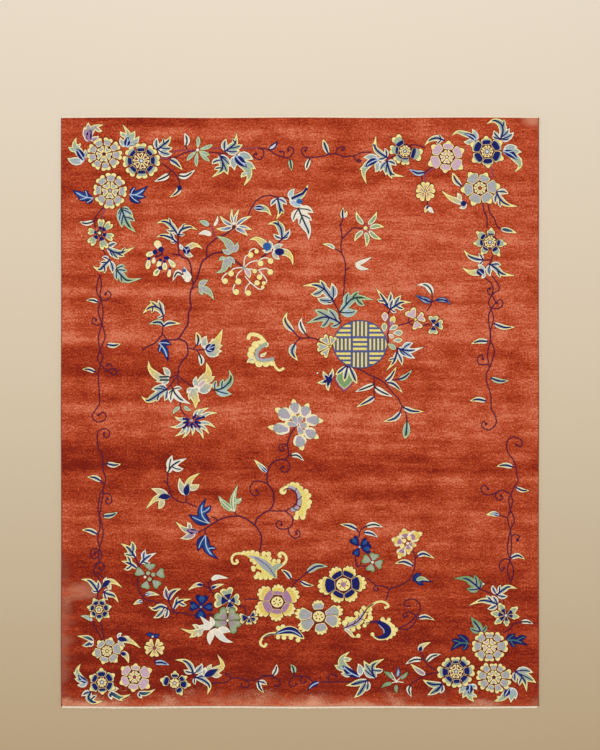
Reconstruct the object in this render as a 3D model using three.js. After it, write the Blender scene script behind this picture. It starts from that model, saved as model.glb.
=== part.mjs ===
// A hand-knotted wool pile rug, laid flat on the floor.
// It is woven in one piece: a thick clipped pile, round overcast edges down both sides,
// and a narrow flat-woven web left bare at each end. One corner stands a little off the floor.
// Millimetres, +Z up. The origin lies on the floor under the middle of the rug,
// +X runs along the weft to the right edge and +Y along the warp to the top end.
import * as THREE from "three";
import { mergeVertices } from "three/addons/utils/BufferGeometryUtils.js";

// Driving dimensions
const RUG_WIDTH = 2440;
const RUG_LENGTH = 3025; // over both end webs
const PILE_TOP = 11; // floor to the clipped tips of the pile
const WEB_THICKNESS = 2.6; // warps and wefts with no pile on them
const TOP_WEB_DEPTH = 8;
const BOTTOM_WEB_DEPTH = 12;
const SELVEDGE_HEIGHT = 5; // outer face of the overcast side edge
const PILE_ROUNDING = 9; // how far in from its rim the pile reaches its full height
const CORNER_RADIUS = 14;
const SIDE_DRIFT = 1.6; // how far a side edge strays inwards from a straight line
const END_DRIFT = 2.4; // the same for the end webs
const SIDE_WAVE = 1180; // length of a side edge's stray
const END_WAVE = 860; // length of an end web's stray
const GRID_STEP = 250; // widest spacing of points on the level part of the pile

// The corner that stands up, at the right of the top end
const CORNER_LIFT = 6; // height of the very corner off the floor
const CORNER_REACH = 95; // how far along each edge the lift runs

// Colour and finish of the dyed wool
const WOOL = new THREE.MeshStandardMaterial({
  name: "rust_wool_pile",
  color: "#b44a28",
  roughness: 0.95,
  metalness: 0,
});

// Height of the pile where it rounds over at its rim, at a share from 0 at the rim to 1 inside.
function roundedPile(foot, share) {
  return foot + (PILE_TOP - foot) * Math.sqrt(1 - (1 - share) ** 2);
}

// One row for each line of points that runs along a side edge, from the edge inwards.
const SIDE_RIM = [
  { inset: 0, height: SELVEDGE_HEIGHT },
  { inset: 0.15 * PILE_ROUNDING, height: roundedPile(SELVEDGE_HEIGHT, 0.15) },
  { inset: 0.45 * PILE_ROUNDING, height: roundedPile(SELVEDGE_HEIGHT, 0.45) },
  { inset: PILE_ROUNDING, height: PILE_TOP },
];

// One row for each line of points that runs along an end, from the web's outer edge inwards.
function endRim(webDepth) {
  return [
    { inset: 0, height: 0.7 * WEB_THICKNESS },
    { inset: 1, height: WEB_THICKNESS },
    { inset: webDepth, height: WEB_THICKNESS },
    { inset: webDepth + 0.1 * PILE_ROUNDING, height: roundedPile(WEB_THICKNESS, 0.25) },
    { inset: webDepth + 0.4 * PILE_ROUNDING, height: roundedPile(WEB_THICKNESS, 0.6) },
    { inset: webDepth + PILE_ROUNDING, height: PILE_TOP },
  ];
}

// Lines of points that let one corner bend, counted in from the rug's edge.
const CORNER_LINES = [0.3, 0.6, 1].map((share) => ({
  inset: share * CORNER_REACH,
  height: PILE_TOP,
}));

// All the lines across one direction: a low rim, level pile at an even step, a high rim.
function stations(size, lowRim, highRim) {
  const half = size / 2;
  const low = lowRim.map(({ inset, height }) => ({ at: inset - half, height }));
  const high = highRim.map(({ inset, height }) => ({ at: half - inset, height })).reverse();
  const start = low.at(-1).at;
  const gap = high[0].at - start;
  const count = 2 * Math.ceil(gap / GRID_STEP / 2);
  const level = Array.from({ length: count - 1 }, (_, i) => ({
    at: start + ((i + 1) * gap) / count,
    height: PILE_TOP,
  }));
  return [...low, ...level, ...high];
}

// How far a woven edge strays inwards at a place along it: none at the middle of the rug.
function stray(along, wave, most) {
  return most * Math.sin((Math.PI * along) / wave) ** 2;
}

// How far the end of the rug falls back near a corner, so that the corner is round.
function cornerRound(x) {
  const past = Math.abs(x) - (RUG_WIDTH / 2 - CORNER_RADIUS);
  if (past <= 0) return 0;
  return CORNER_RADIUS - Math.sqrt(CORNER_RADIUS ** 2 - Math.min(past, CORNER_RADIUS) ** 2);
}

// Height of the rug's underside off the floor: zero all over but at the one corner.
function lift(x, y) {
  const toSide = RUG_WIDTH / 2 - x;
  const toEnd = RUG_LENGTH / 2 - y;
  const near = Math.max(0, 1 - (toSide + toEnd) / CORNER_REACH);
  return CORNER_LIFT * near * near * (3 - 2 * near);
}

// The rug: a box with a grid of points on its faces, moved to the rug's outline and heights.
function rugGeometry() {
  const across = stations(RUG_WIDTH, SIDE_RIM, [...SIDE_RIM, ...CORNER_LINES]);
  const along = stations(
    RUG_LENGTH,
    endRim(BOTTOM_WEB_DEPTH),
    [...endRim(TOP_WEB_DEPTH), ...CORNER_LINES],
  );
  const columns = across.length - 1;
  const rows = along.length - 1;
  const geometry = new THREE.BoxGeometry(1, 1, 1, columns, rows, 1);
  const points = geometry.attributes.position;
  for (let i = 0; i < points.count; i += 1) {
    const column = across[Math.round((points.getX(i) + 0.5) * columns)];
    const row = along[Math.round((points.getY(i) + 0.5) * rows)];
    const narrowing = stray(row.at, SIDE_WAVE, SIDE_DRIFT);
    const shortening = stray(column.at, END_WAVE, END_DRIFT) + cornerRound(column.at);
    const x = column.at * (1 - (2 * narrowing) / RUG_WIDTH);
    const y = row.at * (1 - (2 * shortening) / RUG_LENGTH);
    const top = points.getZ(i) > 0 ? Math.min(column.height, row.height) : 0;
    points.setXYZ(i, x, y, top + lift(x, y));
  }
  geometry.deleteAttribute("normal");
  geometry.deleteAttribute("uv");
  const closed = mergeVertices(geometry);
  closed.computeVertexNormals();
  return closed;
}

const rug = new THREE.Mesh(rugGeometry(), WOOL);
rug.name = "rug";

const part = new THREE.Group();
part.name = "pile_rug";
part.add(rug);

export default part;
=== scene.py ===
# %% [markdown]
# # A hand-knotted wool rug with flower sprays
#
# The real rug is woven on a loom: a row of wool knots is tied on the cotton warps, wefts are beaten
# down on it, and the next row follows. The pile is then clipped level and carved round each motif.
# The CAD model gives the flat slab, and this scene draws what the knots show: the dyed ground,
# the flowers, leaves and vines, the carved lines, the overcast side edges and the bare end webs.

# %% Load the frame
import math

import bpy
import bmesh
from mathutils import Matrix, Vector
from mathutils.geometry import delaunay_2d_cdt


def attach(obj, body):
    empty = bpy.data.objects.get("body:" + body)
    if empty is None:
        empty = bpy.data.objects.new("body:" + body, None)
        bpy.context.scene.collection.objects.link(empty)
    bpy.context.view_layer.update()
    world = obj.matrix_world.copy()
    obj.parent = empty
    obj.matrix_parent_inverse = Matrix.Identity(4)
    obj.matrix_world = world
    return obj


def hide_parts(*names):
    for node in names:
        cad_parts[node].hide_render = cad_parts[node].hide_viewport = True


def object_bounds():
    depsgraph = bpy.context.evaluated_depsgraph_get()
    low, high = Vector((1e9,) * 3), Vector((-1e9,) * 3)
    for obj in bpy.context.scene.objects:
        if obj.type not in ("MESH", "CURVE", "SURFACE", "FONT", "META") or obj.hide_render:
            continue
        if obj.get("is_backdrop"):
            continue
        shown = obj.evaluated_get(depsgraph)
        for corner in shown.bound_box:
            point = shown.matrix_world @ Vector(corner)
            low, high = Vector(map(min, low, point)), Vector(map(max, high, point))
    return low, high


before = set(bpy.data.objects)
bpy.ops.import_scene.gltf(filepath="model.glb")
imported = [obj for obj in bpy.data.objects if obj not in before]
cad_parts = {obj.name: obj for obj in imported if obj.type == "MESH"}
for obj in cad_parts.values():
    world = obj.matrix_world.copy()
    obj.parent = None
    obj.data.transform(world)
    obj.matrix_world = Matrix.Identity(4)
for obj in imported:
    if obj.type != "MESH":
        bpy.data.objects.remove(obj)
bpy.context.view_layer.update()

# %% [markdown]
# ## Sizes
#
# The rug keeps the CAD model's outline: both sides and both ends stray a little from a straight line,
# as woven edges do, and one corner stands up. Lengths are in millimetres. The motifs were placed in the
# pixels of the photograph, 600 wide and 750 high with y down, so one function turns such a pixel into a
# place on the rug.

# %% Sizes of the rug and its place in the photograph
RUG_WIDTH = 2440
RUG_LENGTH = 3025
PILE_TOP = 11
TOP_WEB = 8
BOTTOM_WEB = 12
CORD = 4  # how much of the width the overcast cord takes on each side
PILE_ROUNDING = 9
CORNER_RADIUS = 14
SIDE_DRIFT, SIDE_WAVE = 1.6, 1180
END_DRIFT, END_WAVE = 2.4, 860
CORNER_LIFT, CORNER_REACH = 6, 95
MM_PER_PIXEL = 5.099
MIDDLE_PIXEL = (299.95, 412.4)


def on_rug(point):
    return ((point[0] - MIDDLE_PIXEL[0]) * MM_PER_PIXEL, (MIDDLE_PIXEL[1] - point[1]) * MM_PER_PIXEL)


def stray(along, wave, most):
    return most * math.sin(math.pi * along / wave) ** 2


def lift(x, y):
    near = max(0.0, 1 - ((RUG_WIDTH / 2 - x) + (RUG_LENGTH / 2 - y)) / CORNER_REACH)
    return CORNER_LIFT * near * near * (3 - 2 * near)


print("one pixel is", MM_PER_PIXEL, "mm, so the photograph is", round(0.6 * MM_PER_PIXEL, 2), "m wide")

# %% [markdown]
# ## Yarns
#
# Some twenty dyed wools make the whole design. A dress names the yarns of one kind of leaf or petal:
# the line round it, its colour at the foot and at the tip, its veins and a dark patch at the foot.

# %% Yarn colours and how motifs are dressed
# The seam colour is ground red painted darker: painted shade in the carved seams between petals and round
# flower centres, not a dyed wool.
YARNS = {
    "straw": "#F5E296", "gold": "#E4C868", "cream": "#F3E6CF", "white": "#D2D3D4", "lavender": "#AEA5B2",
    "mauve": "#A97C9C", "ash": "#A3AC9C", "sage": "#A3B08A", "celery": "#BFCB9C", "green": "#7F9C69",
    "teal": "#4F7A72", "pine": "#22383C", "sky": "#B4C6DE", "blue": "#2C5C9C", "navy": "#191C60",
    "wine": "#5A1B3C", "plum": "#9C4A68", "ember": "#B4512F", "seam_shade": "#6A2018", "lemon": "#E9D878",
    "slate": "#555B88", "haze": "#A2AFB4", "rose": "#CBABB9",
}

# name: line, foot, tip, veins, patch at the foot
DRESSES = {
    "flame": ("straw", "mauve", "ash", "mauve", "navy"),
    "frost": ("straw", "haze", "sage", "navy", None),
    "snow": ("cream", "cream", "white", "pine", None),
    "corn": ("straw", "haze", "ash", "navy", None),
    "gilt": ("straw", "haze", "gold", "navy", None),
    "scroll": ("straw", "lavender", "gold", None, None),
    "night_gilt": ("straw", "haze", "gold", None, "navy"),
    "night_frost": ("straw", "haze", "sage", "sky", "navy"),
    "moss": ("celery", "lavender", "sage", "navy", None),
    "spring": ("straw", "sky", "green", "navy", None),
    "fern": ("celery", "sky", "green", "pine", None),
    "sea": ("sky", "ash", "teal", "navy", None),
    "night": ("navy", "navy", "blue", "sky", None),
    "dusk": ("straw", "navy", "teal", None, None),
    "badge": ("navy", "white", "white", None, None),
    "ice": ("cream", "haze", "sky", "navy", None),
    "lilac": ("straw", "rose", "rose", None, None),
    "cloud": ("straw", "lavender", "ash", None, None),
    "honey": ("straw", "gold", "gold", None, "mauve"),
    "star": ("straw", "ash", "sage", None, "navy"),
    "sun": ("straw", "gold", "gold", None, "navy"),
    "spike": ("straw", "navy", "sky", None, None),
    "petal": ("straw", "plum", "straw", None, None),
    "ring": ("straw", "wine", "plum", None, None),
    "reed": ("straw", "sage", "green", None, None),
    "mint": ("celery", "haze", "sage", "navy", None),
    "pond": ("slate", "ash", "sky", "navy", None),
    "meadow": ("celery", "green", "sage", "cream", None),
    "dawn": ("straw", "mauve", "ash", "navy", None),
    "clover": ("green", "mauve", "sage", None, None),
    "tide": ("straw", "ash", "teal", "navy", None),
    "mist": ("green", "ash", "sage", None, None),
    "ink": ("navy", "navy", "navy", "teal", None),
    "ivy": ("green", "ash", "green", "navy", None),
}


def linear(code):
    parts = [int(code[i:i + 2], 16) / 255 for i in (1, 3, 5)]
    return tuple(p / 12.92 if p <= 0.04045 else ((p + 0.055) / 1.055) ** 2.4 for p in parts)


DYED = {name: linear(code) for name, code in YARNS.items()}
print(len(YARNS), "yarns and", len(DRESSES), "dresses")

# %% [markdown]
# ## Drawing tools
#
# A knotted design is a flat picture, so each motif is a stack of flat patches: the carved line round
# it, which later gets painted shade, its outline, its filling, its veins. A vine is a thin ribbon along a
# smooth curve through a few points. The patches are only collected here, and later ones lie on top.

# %% Curves, blades and patches
# The carved layer is ground round a motif that gets painted shade at the motif's edge.
CARVED, VINES, MOTIFS = 0, 1, 2  # layers, from the bottom up
CARVED_WIDTH = 0.95
LINE_WIDTH = 1.05
patches = []


def pairs(numbers):
    # The points of a curve are written as x and y in turn.
    return list(zip(numbers[::2], numbers[1::2]))


def curve(points, steps=4):
    if len(points) == 2:
        points = (points[0], tuple((a + b) / 2 for a, b in zip(*points)), points[1])
    path = []
    for i in range(len(points) - 1):
        p0, p1, p2 = points[max(i - 1, 0)], points[i], points[i + 1]
        p3 = points[min(i + 2, len(points) - 1)]
        for k in range(steps):
            t = k / steps
            spot = []
            for a, b, c, d in zip(p0, p1, p2, p3):
                square, cube = 2 * a - 5 * b + 4 * c - d, 3 * b - a - 3 * c + d
                spot.append(0.5 * (2 * b + (c - a) * t + square * t**2 + cube * t**3))
            path.append(tuple(spot))
    return path + [points[-1]]


def unit(a, b):
    dx, dy = b[0] - a[0], b[1] - a[1]
    size = math.hypot(dx, dy) or 1.0
    return dx / size, dy / size


def tangents(path):
    last = len(path) - 1
    return [unit(path[max(i - 1, 0)], path[min(i + 1, last)]) for i in range(last + 1)]


def strip(path, halves, reach=0.0):
    left, right = [], []
    ways = tangents(path)
    for (x, y), (tx, ty), half in zip(path, ways, halves):
        if half > 0.1:
            left.append((x - ty * half, y + tx * half))
            right.append((x + ty * half, y - tx * half))
    if len(left) < 2:
        return None
    points = left + right[::-1]
    if reach >= 0:
        tip = (path[-1][0] + ways[-1][0] * reach, path[-1][1] + ways[-1][1] * reach)
        foot = (path[0][0] - ways[0][0] * reach, path[0][1] - ways[0][1] * reach)
        points = [foot] + left + [tip] + right[::-1]
    return points


def blade(path, width, peak=0.4, grow=0.0):
    power = math.log(0.5) / math.log(peak)
    halves = []
    for i in range(len(path)):
        t = i / (len(path) - 1)
        half = 0.5 * width * max(0.0, math.sin(math.pi * t**power)) ** (0.8 if t < peak else 1.15)
        halves.append(half + grow)
    return strip(path, halves, grow)


print("a curve of three points becomes", len(curve([(0, 0), (1, 1), (2, 0)])), "points")

# %% Patches, dots and vines
SMALLEST_PATCH = 6  # square millimetres


def patch(points, yarn, tip_yarn=None, axis=None, layer=MOTIFS):
    # The yarn changes from the axis's first end to its second where a tip yarn is given.
    if points is None or len(points) < 3:
        return
    placed = [on_rug(p) for p in points]
    area = sum(a[0] * b[1] - b[0] * a[1] for a, b in zip(placed, placed[1:] + placed[:1])) / 2
    if abs(area) < SMALLEST_PATCH:
        return
    if area < 0:
        placed.reverse()
    ends = (on_rug(axis[0]), on_rug(axis[1])) if axis else None
    patches.append(
        {"points": placed, "yarn": yarn, "tip": tip_yarn or yarn, "axis": ends, "layer": layer})


def disk(center, radius, yarn, high=None, count=12, layer=MOTIFS):
    turns = [2 * math.pi * i / count for i in range(count)]
    high = high or radius
    ring = [(center[0] + radius * math.cos(a), center[1] + high * math.sin(a)) for a in turns]
    patch(ring, yarn, layer=layer)


def dot(center, radius, yarn):
    disk(center, radius + CARVED_WIDTH, None, layer=CARVED)
    disk(center, radius, yarn)


def vine(way, half=0.46, end=0.0, yarn="wine", layer=VINES):
    points = pairs(way)
    path = curve(points)
    patch(strip(path, [half + 0.5] * len(path), 0.3), None, layer=CARVED)
    patch(strip(path, [half] * len(path), 0.2), yarn, layer=layer)
    if end:
        disk(points[-1], end + 0.6, None, count=9, layer=CARVED)
        disk(points[-1], end, yarn, count=9, layer=layer)


def curl(way, end=1.3):
    # A shoot that ends in a dot
    vine(way, end=end)


def thread(yarn, half, way, end=0.0):
    # A line that lies on the motifs
    vine(way, half, end, yarn, MOTIFS)


print("drawing tools ready, carved line", round(CARVED_WIDTH * MM_PER_PIXEL, 1), "mm wide")

# %% [markdown]
# ## Leaves
#
# A leaf of the design is a blade with a pale line round it, a filling that changes from foot to tip and
# a dark vein, and most leaves have a few pointed lobes. One outline for each leaf would need dozens of
# points. A spine and the tips of the lobes are enough here: every lobe is a smaller blade that leaves
# the spine along it and bends to its own tip.

# %% Leaf with lobes
LEAF_SLIM = 0.9  # share of the given width that is drawn
THIN_VEIN, DARK_VEIN = 0.55, 0.86  # half widths, in pixels


def lobe_path(path, tip):
    gaps = [math.hypot(x - tip[0], y - tip[1]) for x, y in path]
    near = gaps.index(min(gaps))
    step = math.hypot(path[1][0] - path[0][0], path[1][1] - path[0][1]) or 1.0
    start = max(0, near - max(1, round(0.85 * gaps[near] / step)))
    (ax, ay), (tx, ty) = path[start], tangents(path)[start]
    far = math.hypot(tip[0] - ax, tip[1] - ay)
    wx, wy = unit((ax, ay), tip)
    bend = (ax + (1.6 * wx - 0.6 * tx) * 0.5 * far, ay + (1.6 * wy - 0.6 * ty) * 0.5 * far)
    spots = []
    for i in range(6):
        t = i / 5
        corners = zip((ax, ay), bend, tip)
        spots.append(tuple(a * (1 - t) ** 2 + 2 * b * t * (1 - t) + c * t * t for a, b, c in corners))
    return spots, far


def leaf(dress, width, spine, lobes=(), bend=0.1, peak=0.38, veined=True):
    # spine runs from foot to tip, lobes are the tips of the lobes, bend is for a spine of two points
    line, foot, tip, vein, dark = DRESSES[dress]
    width *= LEAF_SLIM
    spine = pairs(spine)
    if len(spine) == 2:
        (ax, ay), (bx, by) = spine
        middle = ((ax + bx) / 2 - (by - ay) * bend, (ay + by) / 2 + (bx - ax) * bend)
        spine = (spine[0], middle, spine[1])
    path = curve(spine, 4 if len(spine) > 3 else 5)
    sides = [lobe_path(path, spot) for spot in pairs(lobes)]
    parts = [(path, 0.82 * width if sides else width, peak)]
    for side_path, far in sides:
        parts.append((side_path, min(max(0.52 * far, 2.8), 0.85 * width), 0.42))
    for part in parts:
        patch(blade(*part, grow=CARVED_WIDTH), None, layer=CARVED)
    axis = (path[0], path[round(0.75 * (len(path) - 1))])
    for part in parts:
        patch(blade(*part), "cream" if line == "straw" else line, line, axis)
    for part in parts:
        patch(blade(*part, grow=-LINE_WIDTH), foot, tip, axis)
    if dark:
        half = path[: max(4, round(0.55 * len(path)))]
        patch(blade(half, 0.7 * width, 0.5), dark)
    if vein and veined:
        inner = path[: max(3, round((0.5 if dark else 0.8) * len(path)))]
        thick = THIN_VEIN if vein in ("sky", "cream", "teal") else DARK_VEIN
        patch(strip(inner, [thick] * (len(inner) - 1) + [0.35], 0.2), vein)
        for side_path, far in sides:
            if far > 4:
                size = 3 if dark else 5
                patch(strip(side_path[:size], [0.75 * thick] * (size - 1) + [0.3], 0.1), vein)


def plain_leaf(*row, **more):
    leaf(*row, veined=False, **more)


print("leaf: line", round(LINE_WIDTH * MM_PER_PIXEL, 1), "mm wide")

# %% [markdown]
# ## Flowers
#
# The flowers are seen from straight above: petals round a core, each with a yellow line, a paler filling
# and often a dark patch at its foot. A petal could be drawn anew each time. Here a petal shape is a short
# list of points beside its axis, turned and stretched to each tip, and it keeps inside its share of the
# round, so that neighbours meet in a dark seam, painted shade as in the grooves of the carved pile.

# %% Petal shapes
# Points beside a petal's axis: share of the way from foot to tip, share of half the width
PETALS = {
    "notched": ((0, 0.12), (0.25, 0.42), (0.45, 0.72), (0.62, 0.94), (0.76, 1.03), (0.9, 0.98), (1.0, 0.78),
                (1.03, 0.5), (0.98, 0.24), (0.86, 0.04), (0.84, 0)),
    "lobed": ((0, 0.2), (0.22, 0.55), (0.36, 0.88), (0.5, 1.06), (0.63, 1.06), (0.71, 0.9), (0.71, 0.74),
              (0.84, 0.8), (0.95, 0.68), (0.98, 0.5), (0.87, 0.32), (0.95, 0.27), (1.04, 0.14), (1.06, 0)),
    "crested": ((0, 0.4), (0.16, 0.8), (0.32, 1.04), (0.5, 1.04), (0.61, 0.88), (0.68, 0.62), (0.76, 0.46),
                (0.87, 0.4), (0.96, 0.27), (1.04, 0)),
    "round": ((0, 0.3), (0.3, 0.72), (0.55, 0.95), (0.78, 0.9), (0.95, 0.6), (1.03, 0)),
    "heart": ((0, 0.12), (0.3, 0.55), (0.55, 0.9), (0.75, 1.02), (0.92, 0.95), (1.02, 0.68), (1.02, 0.38),
              (0.9, 0.1), (0.86, 0)),
}


def petal(center, tip, width, shape, inner, grow=0.0, until=1.0, slim=9.0, footing=0.0):
    # slim keeps a petal inside its share of the round: half its width for each unit from the centre.
    # footing is the least share of the width near the foot, for petals that stand close round a core.
    wx, wy = unit(center, tip)
    size = math.hypot(tip[0] - center[0], tip[1] - center[1])
    start = inner * size - grow
    span = (size * until + grow) - start
    half = width / 2 + grow
    if span < 1 or half < 0.4:
        return None
    right = []
    for u, v in PETALS[shape]:
        if u < 0.45:
            v = max(v, footing)
        far = start + span * u
        right.append((far, max(0.0, min(half * v, max(far, 0.5) * slim + grow))))
    ring = right + [(u, -v) for u, v in right[::-1] if v > 0]
    return [(center[0] + wx * u - wy * v, center[1] + wy * u + wx * v) for u, v in ring]


def ring_of(center, radius, count, turn=0.0, high=None):
    turns = [math.radians(turn) + 2 * math.pi * i / count for i in range(count)]
    return [(center[0] + radius * math.cos(a), center[1] + (high or radius) * math.sin(a)) for a in turns]


def around(center, turn, *sizes):
    # Evenly spaced tips, each with its own distance
    step = 360 / len(sizes)
    return [ring_of(center, size, 1, turn + k * step)[0] for k, size in enumerate(sizes)]


def between(a, b, share):
    return tuple(p + share * (q - p) for p, q in zip(a, b))


print("petal shapes:", ", ".join(PETALS))

# %% Open flowers round a core
SEAM = 1.2  # dark line round the core, in pixels
# Petals round a core: their width as a share of the gap between tips, and how far their filling reaches
PETAL_FIT = {"notched": (0.84, 0.91), "crested": (0.7, 0.85), "lobed": (0.72, 0.86)}
LOOSE_FIT = (0.95, 0.86)  # the same for petals without a core


def rosette(center, radius, number, core_dress):
    # The core: a small flower of a few petals, or with no number a plain disc with short dashes
    core_line, core_foot, core_tip, _, _ = DRESSES[core_dress]
    disk(center, radius + SEAM, "wine", (1.0 if number else 0.92) * radius + SEAM, count=18)
    if not number:
        disk(center, radius, core_line, 0.92 * radius, count=18)
        for spot in ring_of(center, 0.74 * radius, 6, 15, 0.6 * radius):
            thread("wine", 0.5, (*spot, *between(center, spot, 0.5)))
        return
    small = ring_of(center, radius, number, 20)
    wide = 1.9 * radius * math.sin(math.pi / number)
    lean = math.tan(math.pi / number) - 0.12
    for tip in small:
        patch(petal(center, tip, wide, "notched", 0.15, 0.0, 1.0, lean), core_line)
    for tip in small:
        axis = (between(center, tip, 0.4), tip)
        patch(petal(center, tip, wide, "notched", 0.3, -1.15, 1.0, lean), core_foot, core_tip, axis)


def flower(dress, center, tips, shape="notched", spread=0.95, inner=0.15, core=None, heart=None, full=0,
           deep=0.75):
    # inner is where petals without a core begin, full is the number of petals of a whole round where only
    # some show, and deep is how far a dark patch reaches, each as a share of the way to the tip.
    line, foot, tip_yarn, _, dark = DRESSES[dress]
    count = full or max(len(tips), 5)
    tips = [between(center, tip, 0.98) for tip in tips]
    turns = [math.atan2(y - center[1], x - center[0]) for x, y in tips]
    footing = 0.95 if core else 0.0
    fit, reach = PETAL_FIT[shape] if core else LOOSE_FIT
    rows = []
    for tip, turn in zip(tips, turns):
        # Half the gap to the nearest petal, but not much less than an even share of the round
        others = [other for other in turns if other != turn]
        gaps = [abs((turn - other + math.pi) % (2 * math.pi) - math.pi) / 2 for other in others]
        share = min(1.1 * math.pi / count, max(min(gaps), 0.8 * math.pi / count))
        size = math.hypot(tip[0] - center[0], tip[1] - center[1])
        begin = max(inner, (core[0] + SEAM) / size) if core else inner
        width = spread * fit * 1.9 * size * math.sin(share)
        rows.append((tip, size, begin, width, math.tan(share) - 0.9 / size))
    for tip, size, begin, width, slim in rows:
        patch(petal(center, tip, width, shape, begin, CARVED_WIDTH, 1.0, slim, footing), None, layer=CARVED)
    # The seam disc under the petals and the seam rim round each petal are painted shade of the carved
    # grooves.
    if not full:
        disk(center, core[0] + 2.5 if core else 0.3 * size, "seam_shade", count=16)
    for tip, size, begin, width, slim in rows:
        patch(petal(center, tip, width, shape, begin, 0.6, 1.0, slim, footing), "seam_shade")
        patch(petal(center, tip, width, shape, begin, 0.0, 1.0, slim, footing), line)
        axis = (between(center, tip, deep if dark else begin + 0.1), between(center, tip, reach))
        if core:
            inside = petal(center, tip, 1.04 * width, "round", begin, -0.6, reach, slim, footing)
        else:
            inside = petal(center, tip, width, shape, begin, -LINE_WIDTH, reach + LINE_WIDTH / size, slim)
        patch(inside, foot, tip_yarn, axis)
        if dark:
            patch(petal(center, tip, width, "round", begin, -0.35, deep, slim, footing), dark)
    if core:
        rosette(center, *core)
    if heart:
        # Without a yarn of its own the heart's ring is painted seam shade.
        disk(center, heart[0] + 0.8, heart[2] if len(heart) > 2 else "seam_shade", count=10)
        disk(center, heart[0], heart[1], count=10)


print("flowers: seam", round(SEAM * MM_PER_PIXEL, 1), "mm wide round a core")


# %% Loose petals, buds and asters
def loose_petals(dress, rows, shape="crested", reach=0.78):
    # Petals that stand apart, each with its own foot, tip and width
    line, foot_yarn, tip_yarn, _, dark = DRESSES[dress]
    for foot, tip, width in rows:
        patch(petal(foot, tip, width, shape, 0.0, CARVED_WIDTH), None, layer=CARVED)
    for foot, tip, width in rows:
        patch(petal(foot, tip, width, shape, 0.0), "cream" if line == "straw" else line, line, (foot, tip))
        inside = petal(foot, between(foot, tip, reach), 0.8 * width, "round", 0.1)
        patch(inside, foot_yarn, tip_yarn, (between(foot, tip, 0.3), tip))
        if dark:
            patch(petal(foot, between(foot, tip, 0.42), 0.6 * width, "round", 0.05), dark)


def bud(base, tip, width, spot=None, cap=None):
    patch(petal(base, tip, width, "round", 0.0, CARVED_WIDTH), None, layer=CARVED)
    patch(petal(base, tip, width, "round", 0.0), "cream", "straw", (base, tip))
    if spot:
        patch(petal(base, between(base, tip, 0.75), 0.42 * width, "round", 0.35), spot)
    if cap:
        disk(base, cap, "navy", count=9)


def aster(dress, center, tips, width=5.0, heart=("straw", 2.0), start=0.12):
    for k, tip in enumerate(tips):
        bend = 0.1 if k % 2 else -0.1
        plain_leaf(dress, width, (*between(center, tip, start), *tip), bend=bend, peak=0.4)
    disk(center, heart[1], heart[0], count=10)


print("loose petals, buds and asters ready,", len(patches), "patches so far")

# %% [markdown]
# ## The corner sprays at the top
#
# Each corner of the border has a knot of three large open flowers with flame-shaped leaves round it.
# The flowers have six to nine petals about a rosette, and the leaves have pointed lobes.
# Leaves and stems come first, so that the petals lie over them.

# %% Top left corner
leaf("flame", 10, (89.3,141.5, 89.5,133, 95,127, 103.5,124.8),
     (88.3,122, 84,126.5, 102.5,131, 98.5,135.5, 84.5,134))
leaf("night_frost", 11, (84.5,160.5, 79,152, 74.5,145, 76.3,137.3),
     (68,147, 80.5,143, 85,149, 67,158))
leaf("night_frost", 10, (126.2,147, 127.5,140, 128,133, 122.5,124.5),
     (120,131, 120.3,137, 135,130.5, 139.5,135.8))
leaf("night", 11, (93,198, 85,197, 78,193.5, 72.5,190), (84,190, 78,199.5, 85,203))
leaf("night", 10, (129.5,194.5, 136,194.5, 142,191, 148,185.5), (136,187.5, 141,203, 146,197))
leaf("fern", 10, (121.5,208, 124.5,217, 129,226, 136,232.5),
     (130,211, 133,216.5, 135,221.5, 118.5,216, 119.5,223, 122,228))
leaf("snow", 5.5, (93.5,221.5, 86,223.5, 79.5,221.5))
leaf("frost", 10, (107,248, 114,252, 122,252.5, 135,247),
     (117.5,243.5, 126,247.5, 114,257.5, 119.5,259.5, 125,256.5))
leaf("corn", 9, (109.5,260, 104,265.5, 99.5,269.5, 92.5,266),
     (101.5,257.5, 99.5,263.5, 112,274, 104,273.5))
leaf("fern", 10, (116,269, 121,275, 128,280.5, 142,278),
     (125.5,266.5, 127.5,272, 117.5,281, 123,283.5))
vine((105,206, 97.5,214, 94.5,221, 95.5,228))
vine((105,207, 103,213, 102,219), yarn="plum")
vine((103,249, 106,256, 110,262, 116,269))
flower("cloud", (104,154), ring_of((104.5,154.2), 17.8, 9, 4, 16.6), spread=1.0, core=(7.5, 5, "cloud"),
       heart=(1.2, "wine"))
flower("star", (141.3,160.8), ring_of((141.3,161), 18.8, 8, -2, 17.8), spread=1.0, core=(7.8, 6, "ring"),
       heart=(1.6, "white", "navy"))
flower("cloud", (110,190.4), ring_of((110.1,190.8), 16.8, 8, 3, 18), spread=1.0, core=(7.8, 5, "cloud"),
       heart=(1.5, "lavender"))
flower("star", (99.5,233), ((101.5,219), (111.5,223), (113.5,238), (105,249), (89.5,244), (88,231)),
       "notched", 0.66, inner=0.2, deep=0.5, heart=(1.5, "straw", "wine"))
print(len(patches), "patches")

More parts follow.
